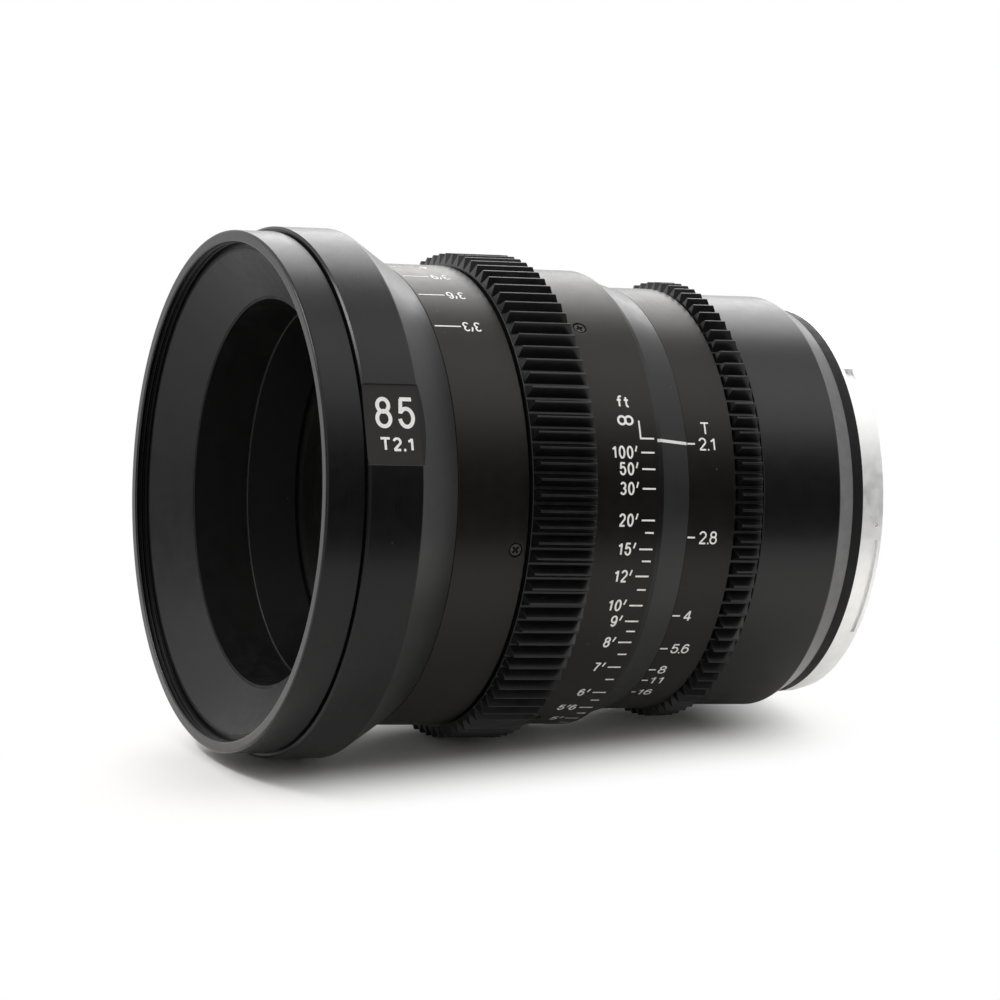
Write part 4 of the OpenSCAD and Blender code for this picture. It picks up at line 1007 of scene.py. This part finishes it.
def buildFocusMarks(p):
    radius = scaleSpan.radius
    nudge = [p["nudge"].get(feet, 0.0) for feet in p["feet"]]
    parts = []
    for k, feet in enumerate(p["feet"]):
        v = -(turnFor(feet) + math.radians(nudge[k])) * radius
        parts.append(tick(p["longTick"], v, p["tickWidth"]))
        parts.append(placed(scaleLabel(feet, p), rimY + p["longTick"][0] - p["labelGap"], v, 0.0, "right"))
        if feet not in p["noTickAfter"] and feet != p["feet"][-1]:
            middle = turnFor(0.5 * (feet + p["feet"][k + 1]))
            v = -(middle + math.radians(0.5 * (nudge[k] + nudge[k + 1]))) * radius
            parts.append(tick(p["shortTick"], v, p["tickWidth"]))
    # the far end of the scale: a bent line, the unit and the infinity sign
    line = p["farLine"]
    corner = rimY + line["corner"]
    path = np.linspace((corner, line["rise"]), (corner, 0.0), 9)
    parts.append(inkLine(np.concatenate([path, [(rimY + line["end"], 0.0)]]), p["tickWidth"]))
    parts.append(sign(p["unit"]))
    loop = p["farSign"]
    u, v = loop["place"]
    for k in (-1, 1):
        ring, faces = inkLine(bow((rimY + u + loop["apart"] * k, v), loop["loop"], 0, 360, 25), loop["thick"])
        parts.append((ring + [0, 0, inkStep * k], faces))
    wrapped("focusScaleMarks", parts, indexAngle, radius, "focus_ring")


buildFocusMarks(focusScale)

farScale = {**focusScale, "longTick": (25.0, 29.6), "tickWidth": 0.26, "textFrom": 30.0, "thick": 0.27,
            "width": 0.4, "gap": 0.2}


def buildFarMarks(p):
    # the second scale, on the front sleeve, reads from the other side, so its words are turned over
    radius = frontSleeveSpan.radius
    parts = []
    for feet in p["feet"]:
        v = -turnFor(feet) * radius
        parts.append(tick(p["longTick"], v, p["tickWidth"]))
        turned = placed(scaleLabel(feet, p), 0.0, 0.0, math.pi)
        parts.append(placed(turned, rimY + p["textFrom"], v, 0.0, "left"))
    wrapped("focusFarMarks", parts, indexAngle + math.pi, radius, "focus_ring")


buildFarMarks(farScale)

# each stop: turn of the ring in degrees, label, where its word starts and where its tick ends
stopScale = {"stops": [(0.0, "2.1", 68.85, 68.1), (24.9, "2.8", 68.85, 68.1), (47.4, "4", 68.85, 68.1),
                       (58.8, "5.6", 68.8, 68.1), (67.6, "8", 68.55, 68.0), (72.8, "11", 68.35, 67.9),
                       (79.8, "16", 67.95, 67.5)],
             "tickFrom": 66.75, "height": 2.15, "thick": 0.27, "width": 0.5, "gap": 0.22, "tickWidth": 0.28,
             "sign": {"text": "T", "height": 2.15, "thick": 0.27, "width": 0.46, "gap": 0.3,
                      "place": (70.25, 2.65)}}


def buildStopMarks(p):
    radius = irisSpan.radius
    parts = []
    for turn, label, textFrom, tickTo in p["stops"]:
        v = -math.radians(turn) * radius
        parts.append(tick((p["tickFrom"], tickTo), v, p["tickWidth"]))
        parts.append(placed(letters(label, p), rimY + textFrom, v))
    parts.append(sign(p["sign"]))
    wrapped("stopScaleMarks", parts, indexAngle, radius, "iris_ring")


buildStopMarks(stopScale)

indexMarks = {"width": 0.5, "farWidth": 0.4, "inset": 0.02, "farFrom": 5.0, "farTo": 0.4}


def buildIndexMarks(p):
    # index line on the fixed ring, and its twin on the far side of the cone
    low, high = irisSpan.radius, indexSpan.radius
    end, start = -indexSpan.rear, -indexSpan.front - rearRings["lipSeam"]
    bend = rearRings["lipLength"] - indexSpan.front

    def ringRadius(u):
        return high + (low - high) * np.clip((u - bend) / (end - bend), 0, 1)

    path = [(start + p["inset"], 0), (bend, 0), (end - p["inset"], 0)]
    wrapped("indexLine", [inkLine(path, p["width"])], indexAngle, 0.5 * (low + high), "barrel", ringRadius)
    coneRear = -barrelSpan.rear
    slope = (barrelSpan.radius - frontSleeveSpan.radius) / frontBarrel["coneLength"]
    line = stroke((coneRear - p["farFrom"], 0.0), (coneRear - p["farTo"], 0.0), p["farWidth"])
    wrapped("farIndexLine", [line], indexAngle + math.pi, barrelSpan.radius, "barrel",
            lambda u: frontSleeveSpan.radius + (coneRear - u) * slope)


buildIndexMarks(indexMarks)

frontLabel = {"main": {"text": "85", "height": 5.1, "thick": 0.64, "width": 0.44, "gap": 1.0,
                       "place": (12.1, 1.95)},
              "small": {"text": "T2.1", "height": 2.25, "thick": 0.4, "width": 0.5, "gap": 0.32,
                        "place": (12.05, -3.15)}}


def buildLabel(p):
    # generic focal length and stop on the milled flat: a plane at a distance from the axis
    away = barrelSpan.radius - frontBarrel["flatDepth"] - frontBarrel["flatStep"]
    points, faces = joined([sign(values) for values in p.values()])
    out = np.array([math.cos(indexAngle), 0, math.sin(indexAngle)])
    up = np.array([-math.sin(indexAngle), 0, math.cos(indexAngle)])
    along = np.array([0, 1, 0])
    laid = ((away + points[:, 2:] + markLift) * out + points[:, 1:2] * up + points[:, :1] * along) * mm
    paintPiece("labelNumbers", laid, faces, "barrel")


buildLabel(frontLabel)
print("markings made")


# Floor: the lens rests on the rear edge of its large ring and on the focus gear

floorShape = {"front": 0.165, "back": 1.8, "side": 1.8, "middle": -0.055, "gearRim": 0.8, "drop": 0.02,
              "footprint": (0.006, 0.042), "footprintCentre": (0.005, -0.063), "fade": (0.0, 0.032),
              "mirror": (0.03, 0.16), "tones": ((0.86, 0.845, 0.825), (0.88, 0.865, 0.845)), "cloud": 30.0,
              "rough": 0.6, "shine": 0.2}


def floorTilt(p):
    ringY, ringR = barrelSpan.rear + frontBarrel["coneLength"], barrelSpan.radius
    gearY, gearR = gearSpan.rear + p["gearRim"], gearSpan.radius
    tilt = math.atan((ringR - gearR) / (ringY - gearY))
    height = math.sin(tilt) * ringY - math.cos(tilt) * ringR - p["drop"]
    return tilt, height * mm


def makeFloorLook(p):
    # pale floor; towards its edges the camera sees plain white, near the lens it keeps the shadow
    material, tree, shader = newMaterial("paleFloor")
    cloud = groupNode(tree, mottle, "Amount", Size=p["cloud"])
    feedAll(tree, shader, {"Base Color": mixColour(tree, cloud, *p["tones"]), "Roughness": p["rough"],
                           "Specular IOR Level": p["shine"]})
    white = tree.nodes.new("ShaderNodeEmission")

    def vectorStep(operation, first, second=None):
        node = tree.nodes.new("ShaderNodeVectorMath")
        node.operation = operation
        tree.links.new(first, node.inputs[0])
        if second is not None:
            node.inputs[1].default_value = second
        return node.outputs["Value" if operation == "LENGTH" else "Vector"]

    # distance outside the footprint box: |max(|p - c| - half, 0)|
    offset = vectorStep("SUBTRACT", objectPlace(tree), (*p["footprintCentre"], 0))
    offset = vectorStep("ABSOLUTE", offset)
    outside = vectorStep("MAXIMUM", vectorStep("SUBTRACT", offset, (*p["footprint"], 10)), (0, 0, 0))
    distance = vectorStep("LENGTH", outside)
    away = rangeNode(tree, distance, *p["fade"])
    mirrored = rangeNode(tree, distance, *p["mirror"])
    path = tree.nodes.new("ShaderNodeLightPath")
    seen = mathNode(tree, "MAXIMUM", path.outputs["Is Camera Ray"], path.outputs["Is Transmission Ray"])
    seen = mathNode(tree, "MULTIPLY", seen, away)
    mirrored = mathNode(tree, "MULTIPLY", mirrored, path.outputs["Is Glossy Ray"])
    seen = mathNode(tree, "MAXIMUM", seen, mirrored)
    mix = tree.nodes.new("ShaderNodeMixShader")
    tree.links.new(seen, mix.inputs["Fac"])
    tree.links.new(shader.outputs[0], mix.inputs[1])
    tree.links.new(white.outputs[0], mix.inputs[2])
    tree.links.new(mix.outputs[0], tree.nodes["Material Output"].inputs["Surface"])
    return material


tilt, floorHeight = floorTilt(floorShape)
floorNormal = np.array([0, -math.sin(tilt), math.cos(tilt)])
floorAcross = np.array([0, math.cos(tilt), math.sin(tilt)])


def buildFloor(p):
    x = np.array([-p["back"], p["front"], p["front"], -p["back"]])[:, None]
    y = np.array([-p["side"], -p["side"], p["side"], p["side"]])[:, None]
    points = x * np.array([1, 0, 0]) + (y + p["middle"]) * floorAcross + floorHeight * floorNormal
    floor = meshPiece("floor", points, [(0, 1, 2, 3)], [makeFloorLook(p)])


buildFloor(floorShape)


# Light: three soft boxes, a white surround, and cards whose dark middles show in the rings

studio = {"backBox": {"size": (0.50, 0.60), "place": (-0.57, 0.28, 0.45), "power": 2.6},
          "topBox": {"size": (0.45, 0.45), "place": (0.25, 0.28, 0.68), "power": 0.5},
          "frontBox": {"size": (0.40, 0.12), "place": (-0.10, -0.60, 0.57), "power": 3.0}}
lightAim = Vector((0, -0.05, 0))
darkCards = {"sideCard": {"way": (0.86, 0.53, 0.10), "distance": 1.5, "half": 1.4, "middle": 0.03,
                          "darkTo": 0.50, "whiteFrom": 1.22},
             "frontCard": {"way": (0.16, -0.98, -0.03), "distance": 1.5, "half": 1.2, "middle": 0.1,
                           "darkTo": 0.45, "whiteFrom": 1.15}}


def buildLights(p):
    for name, values in p.items():
        lamp = bpy.data.lights.new(name, "AREA")
        lamp.shape = "RECTANGLE"
        lamp.size, lamp.size_y = values["size"]
        lamp.energy = values["power"]
        box = bpy.data.objects.new(name, lamp)
        bpy.context.scene.collection.objects.link(box)
        box.location = values["place"]
        box.rotation_euler = (lightAim - box.location).to_track_quat("-Z", "Y").to_euler()

    world = bpy.data.worlds.new("studio")
    bpy.context.scene.world = world
    world.use_nodes = True
    background = world.node_tree.nodes["Background"]
    background.inputs["Color"].default_value = (1, 1, 1, 1)
    background.inputs["Strength"].default_value = 1.0


def buildDarkCard(name, p):
    # a card beside or before the lens, dark in the middle and as white as the surround at its edges
    material, tree, shader = newMaterial(name)
    tree.nodes.remove(shader)
    glow = tree.nodes.new("ShaderNodeEmission")
    way = Vector(p["way"]).normalized()
    centre = way * p["distance"]
    reach = tree.nodes.new("ShaderNodeVectorMath")
    reach.operation = "DISTANCE"
    feed(tree, reach.inputs[0], objectPlace(tree))
    feed(tree, reach.inputs[1], centre)
    level = rangeNode(tree, reach.outputs["Value"], p["darkTo"], p["whiteFrom"], p["middle"], 1.0)
    tree.links.new(level, glow.inputs["Strength"])
    tree.links.new(glow.outputs[0], tree.nodes["Material Output"].inputs["Surface"])
    across = Vector((0, 0, 1)).cross(way).normalized()
    upward = way.cross(across)
    a = np.array([-1, 1, 1, -1])[:, None] * p["half"]
    b = np.array([-1, -1, 1, 1])[:, None] * p["half"]
    points = np.array(centre) + a * np.array(across) + b * np.array(upward)
    card = meshPiece(name, points, [(0, 1, 2, 3)], [material])
    card.visible_camera = False


buildLights(studio)
for cardName, cardValues in darkCards.items():
    buildDarkCard(cardName, cardValues)


# Camera at the photograph's angle

cameraSetup = {"place": (835.06, -444.37, 157.64), "target": (0.0, -55.04, -0.648), "lens": 202.67,
               "sensor": 36.0}


def buildCamera(p):
    data = bpy.data.cameras.new("camera")
    data.lens, data.sensor_width = p["lens"], p["sensor"]
    data.clip_start, data.clip_end = 0.01, 20.0
    camera = bpy.data.objects.new("camera", data)
    bpy.context.scene.collection.objects.link(camera)
    place, target = Vector(p["place"]) * mm, Vector(p["target"]) * mm
    back = (place - target).normalized()
    right = Vector(floorNormal).cross(back).normalized()
    turn = Matrix([right, back.cross(right), back]).transposed().to_4x4()
    camera.matrix_world = Matrix.Translation(place) @ turn
    bpy.context.scene.camera = camera


buildCamera(cameraSetup)
bpy.context.scene.view_settings.view_transform = "Standard"
print("stage set")
